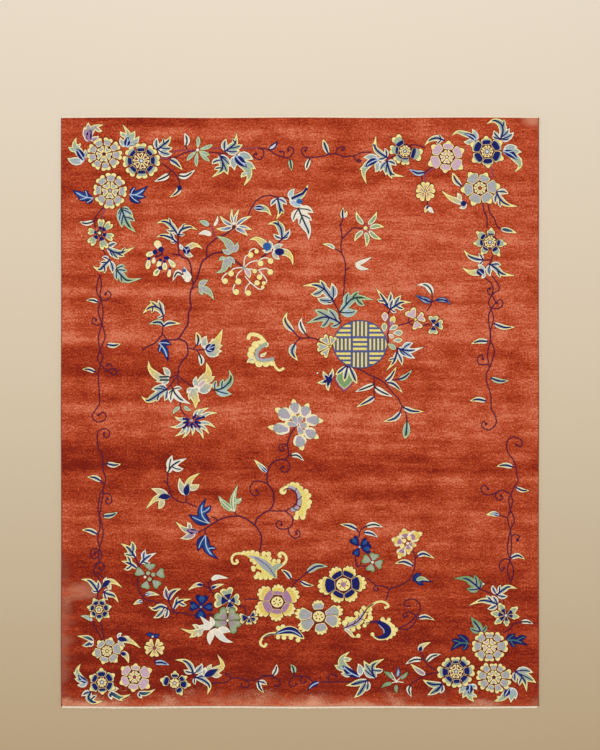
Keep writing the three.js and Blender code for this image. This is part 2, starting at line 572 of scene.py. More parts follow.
# %% Top border
vine((160,158.5, 168,158, 172,153, 179,150.5, 197,150.3), yarn="plum")
vine((168,158, 176,157, 184,153, 195,150.5))
vine((162,163, 167,167, 171,170, 176,175, 179,181, 180,187))
vine((171,170, 169,174))
vine((187,149, 185.6,146))
vine((212,149, 218,148, 240,148.2, 258,148), yarn="plum")
vine((209,152, 219,153, 226,153.5, 236,155.5))
curl((258,148, 263,150, 263.8,155, 260,159.5, 255,158, 253.6,155, 256,154), 1.4)
curl((258,148, 268,149.5, 276,154.5, 284,157.5, 289,157.5, 293.2,153, 293.5,149, 290,147,
      287.6,149, 288.6,150.4), 1.2)
curl((284,157, 283.5,152, 280.5,151.5), 1.2)
leaf("frost", 10, (157.5,149.5, 163,145, 168,141, 171,135.5),
     (157.5,137.5, 164,138, 173,147.5, 172.5,153.5))
leaf("snow", 6.5, (185.6,146.5, 187,140, 184.5,133), peak=0.5)
leaf("corn", 7, (170,159.5, 176,163, 182.5,170))
leaf("snow", 6.5, (178.5,175.5, 186,176, 195.5,169.5))
leaf("snow", 6.5, (169,174.5, 163,178, 154,181.5))
leaf("gilt", 6, (180,186, 177.5,192, 169.5,197.5))
disk((179.5,188), 2.4, "navy", 2.8)
leaf("frost", 10, (225,151.5, 231,147, 235.5,142.5, 236.6,133),
     (226.5,138.5, 232.5,137.5, 243,144.5, 240,150.5))
leaf("frost", 11, (219.5,154.5, 222.5,162, 221.5,170, 211.5,177.5),
     (212,164.5, 214,170, 231,167, 228,175, 228,160))
leaf("night_frost", 13, (235,155, 240,161, 247,168, 249,177, 243.5,186),
     (235,170.5, 241,178, 253.5,159.5, 256,169))
leaf("badge", 5, (269,149, 277.5,141))
leaf("fern", 5, (290,159.5, 291.8,171), bend=0.0)
# Petals of the pale star: tips round its centre
for tip in ((198,136), (213,144.5), (210,155), (210,161.5), (196.5,167), (186.5,161)):
    plain_leaf("fern", 4.6, (*between((197.5,150), tip, 0.12), *tip), bend=0.04, peak=0.55)
disk((197.5,150), 1.5, "cream")
curl((303,155, 301.5,150.5, 304,147.5, 307.5,148, 305.5,150.5), 1.2)
vine((303,154, 306,157, 316,157, 324,156, 330,154, 338,154.3, 343,156.5, 350,156.3, 356,155,
      362,152.5, 371,152))
curl((336,154, 337,149, 341,146.5, 345,148, 342.8,149.6))
curl((354,156, 355.5,160, 359,162.5, 361,160.5, 358.5,160))
leaf("snow", 5.5, (310,158.5, 307.5,164, 306,170.5), peak=0.5)
leaf("corn", 6.5, (328.5,154, 325.5,147, 323,139), peak=0.5)
leaf("frost", 9, (388,158, 380,153, 375,147, 376,135.5), (384.5,148, 376,158.5, 372.5,143))
leaf("night_frost", 10, (379,159, 369,163.5, 363.5,172, 366.5,184),
     (363,157.5, 359.5,170, 375,172.5))
leaf("frost", 9, (387,161, 388,166, 392,174, 404.5,176.5), (396.5,166, 380,172, 386,175.5, 392,179))
vine((380,159, 388,158.5, 395,155.5))
vine((405,147.5, 411,145, 419,145.5, 425,148))
flower("star", (405,151), ((395,136), (389.5,149.5), (395.5,161.5), (405.5,165), (422,155.5)), "notched",
       0.75, deep=0.64, core=(5.2, 5, "ring"), heart=(1.3, "white", "navy"))
print(len(patches), "patches")

# %% Top right corner
vine((432,167, 425,172.5, 422,176, 422.5,182))
vine((434,168, 428,172, 425,176, 425,183), yarn="plum")
vine((491,167, 493,174, 491.5,178), yarn="plum")
vine((483,203, 484,211, 487,218, 487,228))
vine((488,204, 490,213, 494,218, 497,226, 501,229.5))
leaf("frost", 8, (444.5,140.5, 437,138, 430,140, 424.5,145.5), (438,134.5, 436,143.5))
leaf("frost", 11, (500.5,139, 503,131, 501,124, 494,120.5, 486.5,124),
     (504,119, 510,128, 514,132, 510.5,137.5, 494,130, 492.5,135))
leaf("night_frost", 8, (478,142, 472,136.5, 464,133.5, 457,132, 451.5,136), (472,128.5, 463.5,141.5))
leaf("night_frost", 11, (503,151, 511,154, 517.5,160, 520,166, 514.5,172),
     (518,147, 522,152, 522.5,160))
leaf("gilt", 7.5, (461.5,186, 456,180.5, 452.5,172.5), peak=0.5)
plain_leaf("gilt", 8, (467,204.5, 457,201, 449,197, 441.5,190.5), (457,192.5, 459,208))
disk((463.5,203.5), 2.8, "navy")
leaf("gilt", 9, (496.5,192, 500,199, 507,204.5, 518,206.5), (508.5,194, 495.5,204.5, 501,207.5))
leaf("sea", 6, (424.4,172.5, 417,173, 409,169))
flower("petal", (425.3,191), ((425.5,182), (434.5,188), (431.5,199), (419,199), (416.8,188)), "notched",
       0.9, inner=0.1, heart=(0.9, "cream"))
vine((427,199, 428,206))
plain_leaf("night_gilt", 5, (429,206, 425,213))
plain_leaf("snow", 5, (429,207, 434,213))
flower("lilac", (446.9,156.9), around((446.9,156.9), -83, 16.5, 19, 20, 16.3, 20.6, 19.3), "crested", 0.98,
       core=(6.4, 5, "lilac"), heart=(1.2, "cream"))
flower("star", (487.1,151.5), around((487.1,151.5), -94, 15.9, 18.5, 18.5, 16.7, 18.3, 18.8), "crested",
       0.98, core=(5.6, 5, "ring"), heart=(1.7, "white", "navy"))
flower("cloud", (480,188.1), around((480,188.1), -126, 19.5, 17, 20.6, 19, 19.2, 19.6), "crested", 1.0,
       core=(5.8, 5, "cloud"), heart=(1.3, "ember"))
print(len(patches), "patches")

# %% [markdown]
# ## The border vines at the sides
#
# Between the corners the border is a pair of thin wine-red strands that cross, part and meet again.
# Small leaves stand off them in turn, and side shoots curl up into spirals that end in a dot.

# %% Left border vine
vine((99.5,275, 96.4,288, 98,295, 101,300, 103,310, 102,324, 98.5,337, 100,350, 103,357,
      100.5,364))
vine((100,275, 101.5,285, 100,294, 101,300, 98,311, 102,324, 105,337, 100,350, 97.5,358, 101,365))
curl((101,300, 107,300, 111,295, 108,291, 105.6,294))
leaf("frost", 5, (98,302, 86,300.5))
curl((102,323, 97,325.5, 92,322, 93.5,318, 96,320))
leaf("spring", 6, (107,344.5, 121,343.6))
curl((101,365, 107,370, 112,368, 110,363.5, 107.5,365))
curl((107,370, 114,375, 117,371, 114.5,369.5))
leaf("frost", 5, (95,372, 82,369.4))
curl((101,365, 98.3,373, 99,390, 99.5,403, 95.5,410, 92,416, 94,420, 99,422, 104,420, 106,416,
      103,412, 98.5,415))
curl((97.5,440, 97.5,433, 100,430, 105,428.5, 109,431, 109.5,434, 107.5,437.5, 104.5,437,
      104,433.5))
vine((97.5,440, 98,447, 100,451, 102.5,456, 103,464, 103,470, 105,476, 105.5,481, 104,486,
      102.5,490, 100,495, 99,500, 98,508, 99,515))
vine((103,490, 103,495, 101,505, 100.5,510, 99,515))
vine((103,465, 107,463.5))
leaf("corn", 6, (107,463.5, 121,464))
leaf("frost", 6, (101,481, 87,477))
vine((104,485, 101,481))
curl((103,494, 109,493.5, 111.5,498, 111,503, 107.5,504, 105.5,501, 107.5,499))
leaf("moss", 6, (103,516, 118,512))
vine((99,515, 100,527, 98,535, 98,541, 99.5,548, 98.5,556, 99,562, 94.5,568, 95,574, 99,579))
vine((99,515, 103,530, 102,540, 99.5,548, 102,555, 99,562))
leaf("frost", 6, (97,534, 81.5,530))
curl((99,556, 93,559, 90.5,552.5, 94,548.5, 98,550, 95,553.5))
curl((95,567, 97,563, 102,563, 104.5,567, 102,571, 99.5,568.5))
vine((97,572, 102,577, 105,579))
print(len(patches), "patches")

# %% Right border vine
leaf("dusk", 6, (501,229, 509,230.5, 517,233))
leaf("frost", 8, (483,260, 476,259, 469,256, 463.5,249.5), (478,253.5, 478,264.5))
plain_leaf("gilt", 9, (485,272, 477,272.5, 470,272, 462,267.5), (477,265, 481,278.5))
disk((480.5,272), 4, "navy", 3.4)
thread("sky", 0.45, (483,274.5, 478.5,270.5))
leaf("frost", 9, (490,264, 496,268.5, 503,274, 515,275.5), (501.5,265, 490.5,276.5, 501,278))
vine((493,255, 491,261, 489,264, 484,269))
vine((490,260, 483,260))
flower("star", (490,242), ((491.5,227.5), (507,244), (500,256.5), (481,255), (473,243.5), (476,231.5)),
       "crested", 0.8, deep=0.62, core=(5.4, 5, "ring"), heart=(1.5, "white", "navy"))
vine((484,277, 490,282, 493,288, 492,294.5, 488.5,302, 491,309, 493.5,318, 490.5,332, 490.5,340,
      494.5,352, 489.5,368))
vine((492,276, 498,284, 499,290, 492,294.5, 495.5,302, 491,309, 488.5,318, 490.5,332, 490.5,340,
      487.5,354, 489.5,368))
curl((494,294, 489,294, 487.5,290, 490,288.5))
curl((492,308, 498,308.7, 502,306, 503,302, 499.5,299.5, 497,303))
curl((489.5,368, 486.5,374, 486.5,381, 489,389, 491,397, 491.5,409, 495,415, 496,424, 489,430,
      482,427, 483,421.5, 486,424))
leaf("frost", 6, (494,323.5, 515,327))
leaf("frost", 6, (488,341.5, 471,344))
leaf("moss", 6, (491,378, 509,380.5))
leaf("frost", 6, (486,401, 469.5,401))
curl((488,364.5, 480,364.5, 477.5,361, 478.5,356.5, 482,355, 483,359))
curl((508,453, 506.5,446, 508,440, 513,437, 520,439, 522.5,443, 520.5,447, 516.5,445))
vine((508,453, 512,458, 515,463, 516,468, 517,474, 518,482, 514,487, 511,495, 508.5,500,
      510.5,510, 514.5,520, 510.5,530, 508,543, 507.5,550, 510,560, 513,567, 513.5,574, 511,582))
vine((511,495, 512.5,502, 510.5,510, 507.5,519, 510.5,530, 511.5,545, 510,560, 507.5,567, 508,574,
      511,582))
leaf("frost", 6, (513,467, 496.5,466.5))
leaf("frost", 5, (516,487.5, 529.5,490.5))
curl((510,494, 502,490, 495.5,495, 498,500, 502.5,499, 501,495.5))
curl((498,491.5, 492,494.5, 485,494.5, 481,489, 484.5,485, 488,489))
leaf("night_frost", 6, (499,515, 486,515))
vine((499,515, 507,517.5))
curl((511,537, 515,534.5, 519.5,536.5, 517.5,540), 1.6)
leaf("frost", 6, (511,558, 518,555.5, 525,559.5))
curl((510,560, 505,559, 500.5,562, 499.5,567, 502,571.5, 504,568))
print(len(patches), "patches")

# %% [markdown]
# ## The blossoming branch at the upper left
#
# A crooked branch climbs through the upper left of the field. Every shoot carries a different leaf or
# flower: spiky asters, a hanging bunch of buds, a spray of curled berries and a scrolled acanthus leaf.

# %% Upper left branch, its first leaves and buds
vine((193.5,284, 191.5,277, 191,267, 188.5,260, 183,257.5, 179,255, 172,254), half=0.62)
vine((179.5,255, 178.3,248, 178,235), half=0.55)
vine((207,257, 206.7,250, 207.5,246, 213,241, 218,237.5, 224,235, 230,231, 234,227), half=0.55)
vine((214.5,238, 214,233, 212,228, 209,225), yarn="plum")
leaf("frost", 9, (177.8,235, 174,229, 169,223.5, 163,221.3, 156,223.5), (168.5,217.5, 166,229.5))
leaf("frost", 8, (178.2,235, 181,230, 186,227.7, 191,227, 197.5,230), (185.5,223, 185,234))
leaf("corn", 7, (177,242.5, 172,238.5, 166,236, 161,235.5, 155.5,237.5), (168.5,231, 170,241.5))
plain_leaf("gilt", 8, (184,250, 190,246.5, 196,245, 203,249), (180.5,243.5, 193,242, 193.5,256))
disk((186.4,250.3), 3.8, "navy")
for end in ((184,248), (189,248.5), (186.5,253.5)):
    thread("sky", 0.4, (186.4,250.3, *end))
plain_leaf("fern", 6, (209,225.3, 204,222.5, 199,221))
plain_leaf("snow", 3.4, (213.8,226, 217.8,215.5))
plain_leaf("snow", 6, (211.5,235, 205,232.5, 198,234.2))
plain_leaf("moss", 12, (232.5,252.5, 230,246, 225.5,240.5, 216.5,236), (222,249, 237.5,242, 236,247))
plain_leaf("moss", 10, (226,257.5, 226,263, 223,270, 216,273), (219,261, 235,264, 231,268))
# The dark spiky flower: petal tips, width
for tip, width in (((216,228.5), 5.5), ((219.5,215.5), 5), ((232,208.5), 4), ((239.5,208.5), 4),
        ((252,216), 5),
                   ((252.5,230), 5), ((248,236), 6)):
    leaf("spike", width, (*between((234,227), tip, 0.1), *tip), bend=-0.08, peak=0.4)
disk((234,227), 1.6, "wine")
# The hanging buds: foot, tip, width, spot of colour, radius of the dark cap
for foot, tip, width, spot, cap in (
    ((161,249.5), (155.5,241), 7.5, None, 3.0), ((155,252), (146,255.5), 5.5, "celery", 2.6),
    ((149,258.5), (147.4,269), 5.2, "celery", 1.8), ((154,257.5), (153.3,263.5), 4.4, None, None),
    ((160.4,260), (157.8,267), 5, None, 1.8), ((164.4,261.5), (165,270), 5.4, "celery", 1.6),
    ((168.5,259.5), (175,267), 5.4, "celery", None), ((160,268), (154,275.5), 5.8, "green", 2.1),
    ((170,268.5), (168.6,277), 4, None, 1.3),
):
    bud(foot, tip, width, spot, cap)
disk((166.5,258), 3.2, "navy", 1.9)
thread("wine", 0.9, (155,256.5, 161,255, 162.5,252))
print(len(patches), "patches")

# %% Berry spray
vine((193.5,284, 196.5,279, 199,272, 201,265, 203.5,260, 207.5,257.5, 212,254, 217,252.8,
      223,252.5, 229,255, 237,262, 243,267), half=0.62)
# Curled stalks, each with a berry at its end: the points of the stalk, the berry's radius
for stalk, berry in (
    ((244,266, 244.3,260, 246,256, 250.5,255), 2.9),
    ((249,252, 252,249, 255.5,248.8, 256.6,251.3), 2.2),
    ((245,267, 249,263, 254,261, 258,261, 260.5,263.3), 3.0),
    ((259,260.5, 262,258.5, 267,257.8, 270.5,261), 2.9),
    ((258,270.5, 262,269, 267,268.5, 270.3,272), 3.0), ((246,270, 251,269, 254.7,271), 2.3),
    ((259.5,271, 263,275, 266,279, 266.5,282, 263.8,283), 2.0),
    ((260,272, 262,275, 259.5,277), 2.8),
    ((245,276, 249,281, 254,285.5, 259,289, 263,288.5, 262.7,287), 1.8),
    ((254,286, 257,282.8), 2.7), ((250.5,282.5, 247,286, 245.5,290, 246,294, 248.3,293), 2.9),
    ((242,267.5, 236,268, 232,270, 231,273.5), 2.9),
    ((227.5,273, 223.5,276, 222,280, 225,281), 2.9),
    ((242,270, 238.5,273, 236.5,277, 238.3,281.5), 3.1),
    ((235,284, 233.3,288, 233.5,292, 236.2,292), 3.0),
):
    vine(stalk, half=0.6, yarn="cream")
    dot(stalk[-2:], berry, "straw")
leaf("lilac", 7, (244.5,268.5, 248,272, 249.5,278.5), peak=0.5)
disk((243.8,268), 1.8, "ash")
print(len(patches), "patches")

# %% Upper left branch, the leaves above the berries
vine((248.5,214.5, 252,207, 256,201, 262,197, 270,195.5, 277,197, 284,197.5, 290,200, 299,210))
leaf("night_frost", 8, (254,208, 261,208, 267,210, 271.5,216))
leaf("spring", 9, (277.5,198.5, 279.5,206, 280,212, 276,219.5), (271,206.5, 287,205, 284,214))
plain_leaf("spring", 9, (289.5,199.5, 298,197, 304,192.5, 308.5,184),
           (295,188.5, 303.5,206, 297,205))
thread("navy", 1.3, (291.5,198.5, 298,195.5, 303,193, 307,188))
disk((299.5,201.3), 3.3, "blue", 2.5)
leaf("snow", 14, (298.5,209, 302,217, 305.5,225, 308.5,232, 308.5,240),
     (313.5,213, 312,221, 293.5,222.5, 300,226))
leaf("frost", 11, (282,238.5, 281.5,231, 279.5,226, 274.5,223, 267,224.5),
     (290,229, 288.5,235.5, 273.5,233.5, 277,219.5))
vine((283,238, 277,244, 271,250.5, 267,254, 261,257.5), half=0.7)
plain_leaf("gilt", 10, (271.5,251.5, 266,246, 261,241.5, 255.5,238.5, 249,240), (262,250, 269,240))
disk((267,246.5), 4.2, "blue")
plain_leaf("gilt", 10, (273,250.5, 280,251.5, 287,253, 291.5,258, 293,265.5),
           (283.5,244.5, 280,259.5))
disk((279.5,251.8), 4.8, "navy", 3.7)
print(len(patches), "patches")

# %% Upper left branch, its foot
vine((193.5,284, 191,290, 190,297, 190.5,303, 191,308, 188.5,313, 188,322, 186,327, 182.5,333,
      178.5,339), half=0.62)
vine((178.5,339, 168,340, 164.5,336, 162,335, 158.5,339, 155,343, 149,346, 142,349.5), half=0.55)
vine((162,335, 163,327, 163.5,318, 163,313))
vine((179,339, 185,341.5, 187.5,346, 187.5,355, 183,360, 179,367, 178,375), half=0.6)
vine((188,348, 193,349, 197,350, 206,349.5))
vine((193,349, 196.5,345))
vine((197,350, 199.5,355))
vine((191.5,289.5, 195,287, 199,287.5))
plain_leaf("snow", 8, (191,279, 186,273, 184,266.5), (181,275, 184,280))
disk((184.3,270.4), 1.9, "blue")
leaf("snow", 6, (182,274.5, 177,272.5, 172.3,281.5))
plain_leaf("moss", 10, (198.5,287.5, 205,289.5, 210,293, 214,300), (208.5,280.5, 203.5,295))
leaf("gilt", 11, (163.5,315.5, 160,309, 154,306.5, 148,308.5, 142.5,314),
     (158,299.5, 149.5,301, 157,317, 151,313))
leaf("moss", 6, (163.5,326, 160,322.3, 154,322.5, 148.5,324.5))
leaf("corn", 6, (164,326, 168,323.3, 174,323, 181.5,324))
leaf("night", 9, (159,343, 164,349, 166.5,355, 168,361.5), (171.5,345, 160,353))
leaf("gilt", 7, (197,345.5, 198.5,339, 196,332), peak=0.5)
leaf("snow", 6.5, (199,354, 201.5,360, 200.8,366), peak=0.5)
leaf("night_gilt", 14, (205,349.5, 212,347, 218,340, 222.5,329),
     (207,335.5, 213,338, 223,345, 222.5,351, 219.5,355, 210,353.5))
for end in ((212,344), (214.5,346.5), (212,351)):
    thread("sky", 0.45, (207,349.3, *end))
plain_leaf("gilt", 10, (169,378, 161,378, 154,373.5, 149.5,368, 148.5,360.5),
           (162.5,367.5, 155.5,381.5, 161,384.5))
thread("pine", 0.9, (169,376.5, 159.5,377))
thread("pine", 0.9, (169,380, 160,380))
vine((178,374.5, 169,378.5))
vine((178,376, 174,380, 170.5,385, 166,390))
vine((171,384.5, 173,390, 175,393))
vine((178,376, 178.3,389, 180,403, 180.5,408, 184,414, 190,419))
vine((179,376, 184,381, 190,385, 195,387, 204,390, 216,390))
leaf("frost", 11, (167,389, 160,393, 153,398, 147,400.5, 141,396),
     (157,386, 151,389.5, 164,401, 156,402))
leaf("snow", 11, (173,389.5, 175.5,394, 181,399.5, 191,404), (182,389, 169,395, 171,403))
plain_leaf("gilt", 12, (192.5,387.5, 194,395, 195.5,401, 195.5,409),
           (187,394, 189,400, 204,393.5, 200,402))
plain_leaf("gilt", 14, (197,388, 203,381, 208.5,373, 206,362),
           (196.5,376, 215,376, 214,384, 211,389.5))
plain_leaf("lilac", 6, (198,387, 203,382.5, 208,379))
leaf("fern", 11, (215,390, 222,388.5, 229,382.5, 231,377, 229,369.5), (217,380.5, 224,379, 232,394))
plain_leaf("moss", 4.5, (180,407, 172.5,414.5))
plain_leaf("moss", 4.5, (184,406, 191.5,410.5))
# The pale spiky flower: petal tips round its centre
for k, tip in enumerate(((174,416.5), (169.5,427), (174.5,436.5), (182,438.5), (192,436), (203.5,439.5),
        (209.5,434.5),
                         (216,428), (218,413), (209.5,407.5), (201,408.5))):
    plain_leaf("corn", 5, (*between((191.5,420.5), tip, 0.3), *tip), bend=-0.12, peak=0.3)
    thread("navy", 1.15, (*between((191.5,420.5), tip, 0.14),
           *between((191.5,420.5), tip, 0.5 - 0.12 * (k % 2))))
for tip in ((204,434), (186,431), (205,413), (183,413)):
    thread("plum", 0.5, (191.5,420.5, *between((191.5,420.5), tip, 0.7)))
disk((191.5,420.5), 1.6, "ash")
print(len(patches), "patches")

# %% Curled acanthus leaf beside the roundel
thread("straw", 1.9, (266,345, 263,339.5, 257.5,335.2, 250.5,334.6, 248.5,338), end=2.0)
thread("straw", 1.2, (273,362, 275.5,367, 279,370.3, 283,368.7), end=1.5)
# Scallops of its edge: place, radius
for place, radius in (
    ((255.5,345), 4.0), ((251.8,349.8), 3.4), ((250.5,354.5), 3.4), ((252.5,359.5), 4.2),
    ((259,363.5), 3.8), ((266,363.5), 3.6), ((272,363), 3.0), ((262.5,342), 3.4), ((266,344.5), 2.8),
    ((258.5,342.5), 2.0),
):
    dot(place, radius, "straw")
plain_leaf("gilt", 5, (254,359, 246.5,363))
plain_leaf("gilt", 4, (260,356, 266.8,352))
thread("ash", 1.9, (267,343.5, 261,347, 257,352, 257,358, 263,360.5, 274,358.8))
thread("lavender", 0.9, (258,350, 257,355, 259,359.2, 270,359.5))
for line in ((256,348, 252.5,346), (255.5,352.5, 251.5,352), (255.5,357, 252,357),
        (259,361, 258,365), (265,361.5, 265.5,365)):
    thread("gold", 0.35, line)
print(len(patches), "patches")

# %% [markdown]
# ## The barred roundel and the branch round it
#
# On the right of the field lies a round badge of yellow bars on blue. Here it is a plain basket pattern:
# bars in blocks that run across and up in turn, cut off by the circle. A branch with leaves passes
# behind it, and blossoms and buds lean on its rim.

# %% Leaves and stems round the roundel
vine((343,219, 341,225, 341.5,232, 342,238, 341,245, 341.5,252, 344,258, 345.5,265, 345.3,272,
      344.5,280, 344,290, 343.5,296))
vine((341.5,224, 339,225.5))
vine((342,239, 348,233, 352,228.5, 356,228, 363,228.5))
leaf("corn", 5, (343,218.5, 342.5,213, 343.5,207))
leaf("lilac", 3.4, (344,217.5, 347,210.5))
STAR = (365.5,228)
for tip in ((356.5,211.5), (376.5,212), (383.5,227), (381,239), (366,246.5), (355,241)):
    vine((*STAR, *between(STAR, tip, 0.5)), half=0.4, yarn="plum")
aster("reed", STAR, ((356,211), (377,211.3), (384.3,227), (381.7,239.5), (366,247.3), (354.3,241.6)), 5.6,
      start=0.22)
plain_leaf("corn", 4.6, (335,248.5, 322.3,244))
vine((341,252.5, 335,248.5))
plain_leaf("snow", 4.8, (355,264.5, 363,261.5, 372,257))
plain_leaf("snow", 4.8, (355.5,265, 369,269))
vine((345.5,270.5, 349,267.5))
leaf("corn", 11, (333.5,301, 329,295, 324,289, 315,285, 302,286),
     (319.5,279.5, 331.5,282.5, 310.5,294, 317,298, 326,302), peak=0.42)
vine((333.5,301, 337,308, 339.5,314, 340,319, 340.5,323))
leaf("fern", 12, (340,312, 346,305, 352,299, 361,297.5, 374,300),
     (349,291.5, 359.5,291, 365,305.5, 358,310, 350,311.5), peak=0.42)
leaf("mint", 12, (340,323, 333,319, 325,317, 316,319.5, 306,323.5),
     (314,309.5, 327,308, 320,327, 330,326), peak=0.42)
leaf("spring", 7, (390,308.5, 385,301, 381,295, 376,288), (390.5,291, 377,299))
plain_leaf("night", 3.4, (391,309, 383,304))
leaf("corn", 8, (390.5,309, 396,305.5, 402,302.3, 412,302.5),
     (394,298.5, 401.5,295, 405,308.5, 397,312))
vine((390,309.5, 388.5,313, 388.3,318))
vine((388.3,317, 388.8,325, 388.8,331), half=0.75, yarn="plum")
vine((388.5,331, 387.5,335, 388.3,340, 388,344), half=0.6)
vine((432,294, 432,300, 430.5,305, 427,311))
vine((431.5,302, 436,300.5))
leaf("snow", 7, (432.3,294, 430,288.5, 425,284.8, 416.5,285))
leaf("pond", 7, (431,302, 424,299.5, 415.5,295))
plain_leaf("night", 3, (429,302, 421,299))
leaf("pond", 5.6, (436,300, 442,299.8, 447,301, 451,305))
leaf("gilt", 7.5, (293.5,331.5, 287.5,325, 285,319, 287.5,312))
leaf("snow", 6.5, (305.5,334, 301.8,328, 300.5,323, 301.8,317.3))
leaf("frost", 8, (295,344, 292,352, 298,361))
vine((293.5,331.5, 297.5,336, 301,338, 310,338, 316,339, 319.5,340.3))
vine((301,338, 297,341, 295,344))
vine((305.5,334, 308,336.5, 311,338))
vine((355,367.5, 362,370.5, 368,374.5, 373.5,376.5, 379,379, 384,382.5, 389,388, 393,393,
      398,398.5, 401,404, 404,408.5, 406,414, 407,421))
leaf("gilt", 6, (385.5,381, 391,376.5, 396.5,366.5))
vine((385,381.5, 393,380, 399,379.3))
leaf("moss", 5.6, (399,379.3, 405.5,376.5, 412,370))
leaf("corn", 6, (388,382.5, 394.5,384.5, 403,393))
vine((373.5,376.5, 374.3,383, 374.2,390, 374.3,397))
leaf("snow", 6, (373.8,384.5, 365.5,388, 355,391.8))
leaf("snow", 7, (375,387.5, 382,392, 393,396.8))
leaf("gilt", 6.6, (374,397, 368,401, 356,407.3))
vine((402,406, 400.5,412))
leaf("corn", 6.6, (400.5,412, 394.5,418.5, 383,421.5))
leaf("corn", 6, (403.5,407.5, 412,411, 424,411.5))
leaf("fern", 8.4, (407,421, 406.5,430, 405,439), peak=0.55)
dot((317.5,373), 0.9, "cream")
aster("night_frost", (329,380), ((323,370.5), (332.5,368), (317,382.5), (328.5,391.3)), 5.2, ("navy", 3.2))
SHIELD = ((336,371.5), (334.5,379), (338.5,386.5), (344,392), (350,387), (355.5,380), (355,372), (345,368))
patch([(345 + 1.1 * (x - 345), 379 + 1.07 * (y - 379)) for x, y in SHIELD], None, layer=CARVED)
patch(SHIELD, "plum", "plum")
patch([(345 + 0.86 * (x - 345), 379 + 0.8 * (y - 379)) for x, y in SHIELD], "celery")
patch([(345 + 0.76 * (x - 345), 379 + 0.7 * (y - 379)) for x, y in SHIELD], "green")
for base, tip, width in (((346,366), (335.5,375), 5.6), ((347.5,366.5), (344,382), 6.6),
        ((349.5,366.5), (357,384), 7)):
    leaf("frost", width, (*base, *tip), bend=0.0, peak=0.5)
print(len(patches), "patches")

# %% Roundel
ROUNDEL, ROUNDEL_WIDE, ROUNDEL_HIGH = (360,344.3), 27, 24
BAR = 2.1


def bar(low, high, near, far, upright):
    # A bar between two lines, from near to far along them, cut off by the roundel's rim.
    across, along = (ROUNDEL_WIDE, ROUNDEL_HIGH) if upright else (ROUNDEL_HIGH, ROUNDEL_WIDE)
    points = []
    for side, end in ((low, near), (low, far), (high, far), (high, near)):
        reach = (along - 1.0) * math.sqrt(max(0.0, 1 - (side / (across - 1.0)) ** 2))
        stop = max(-reach, min(reach, end))
        points.append((side, stop) if upright else (stop, side))
    return [(ROUNDEL[0] + x, ROUNDEL[1] + y) for x, y in points]


disk(ROUNDEL, ROUNDEL_WIDE + CARVED_WIDTH, None, ROUNDEL_HIGH + CARVED_WIDTH, 48, CARVED)
disk(ROUNDEL, ROUNDEL_WIDE, "slate", ROUNDEL_HIGH, 48)
BLOCKS_X = ((-27,-9.4), (-7.0,7.0), (9.4,27))
BLOCKS_Y = ((-24,-8.2), (-5.8,5.8), (8.2,24))
for column, (left, right) in enumerate(BLOCKS_X):
    for row, (top, bottom) in enumerate(BLOCKS_Y):
        upright = (column + row) % 2 == 1
        low, high = (left, right) if upright else (top, bottom)
        near, far = (top, bottom) if upright else (left, right)
        count = max(1, round((high - low + BAR) / (2 * BAR - 0.1)))
        pitch = (high - low + BAR) / count
        for k in range(count):
            start = low + k * pitch
            if min(abs(start), abs(start + pitch - BAR)) < (26 if upright else 23):
                patch(bar(start, start + pitch - BAR, near, far, upright), "lemon")
print(len(patches), "patches, roundel of", 2 * ROUNDEL_WIDE, "pixels")

# %% Blossoms and buds on the roundel's rim
flower("cloud", (330.5,346.5), ((322.5,336.5), (317,347), (323,356), (333.5,336.5)), "notched", inner=0.12,
       heart=(1.2, "gold"), full=7)
# Buds: base, tip, width, dress
for base, tip, width, dress in (
    ((385.3,321.5), (384.5,312), 7.6, "lilac"), ((391,325.5), (394,315.7), 6.6, "honey"),
    ((384,332), (384.5,322.5), 6.6, "frost"), ((389.3,330), (398,325.3), 6, "corn"),
    ((392.8,333), (403.3,332.5), 7, "corn"), ((388.3,334.3), (394.3,337.8), 5, "lilac"),
    ((392.8,340.5), (402.6,340), 5.6, "corn"), ((387.8,343.8), (396,349), 6.4, "mint"),
):
    plain_leaf(dress, width, (*base, *tip), bend=0.0, peak=0.58)
vine((397,325.5, 404,324, 409,322.5, 412.5,320))
vine((409.5,316, 408.8,323, 415,325.2))
flower("lilac", (415.5,319.5), ((409.3,309.8), (424.5,316.5), (418,328.8)), "notched", inner=0.1,
       heart=(1.4, "gold"), full=5)
vine((422,325.3, 430,324))
flower("night_frost", (433.6,325), ((433.4,315.8), (443,324.5), (433,334)), "notched", inner=0.1,
       heart=(1.2, "white"), full=5, deep=0.62)
leaf("ice", 9, (398,348.5, 404,350, 412,350.5, 424,347), (413.5,343, 415.5,358.5, 407,356.5))
leaf("frost", 7, (397,352, 395.5,357.5, 393,363, 386,371), (388.3,361, 402,366))
vine((395.5,348, 398,348.5))
vine((397.3,348.5, 397,352))
print(len(patches), "patches")

# %% [markdown]
# ## The large flower and the scrolling stem in the middle
#
# Below the middle a large open flower hangs from a stem that winds down the field, with spiral shoots
# and a fat curled acanthus leaf. At its foot spread the blue, white and yellow leaves of a second branch.

# %% Middle flower
vine((296.5,426, 293,430, 290,436, 288,441, 287.5,446, 288.5,451, 288.5,455.5, 285,459.5,
      278,459.8, 273,462.5, 269.5,467, 267.5,472, 267,478, 267.5,483.5, 271,488, 273.5,494,
      274,501, 272.5,506, 269,510.5, 263,513.5, 257,519, 255,525), half=0.6)
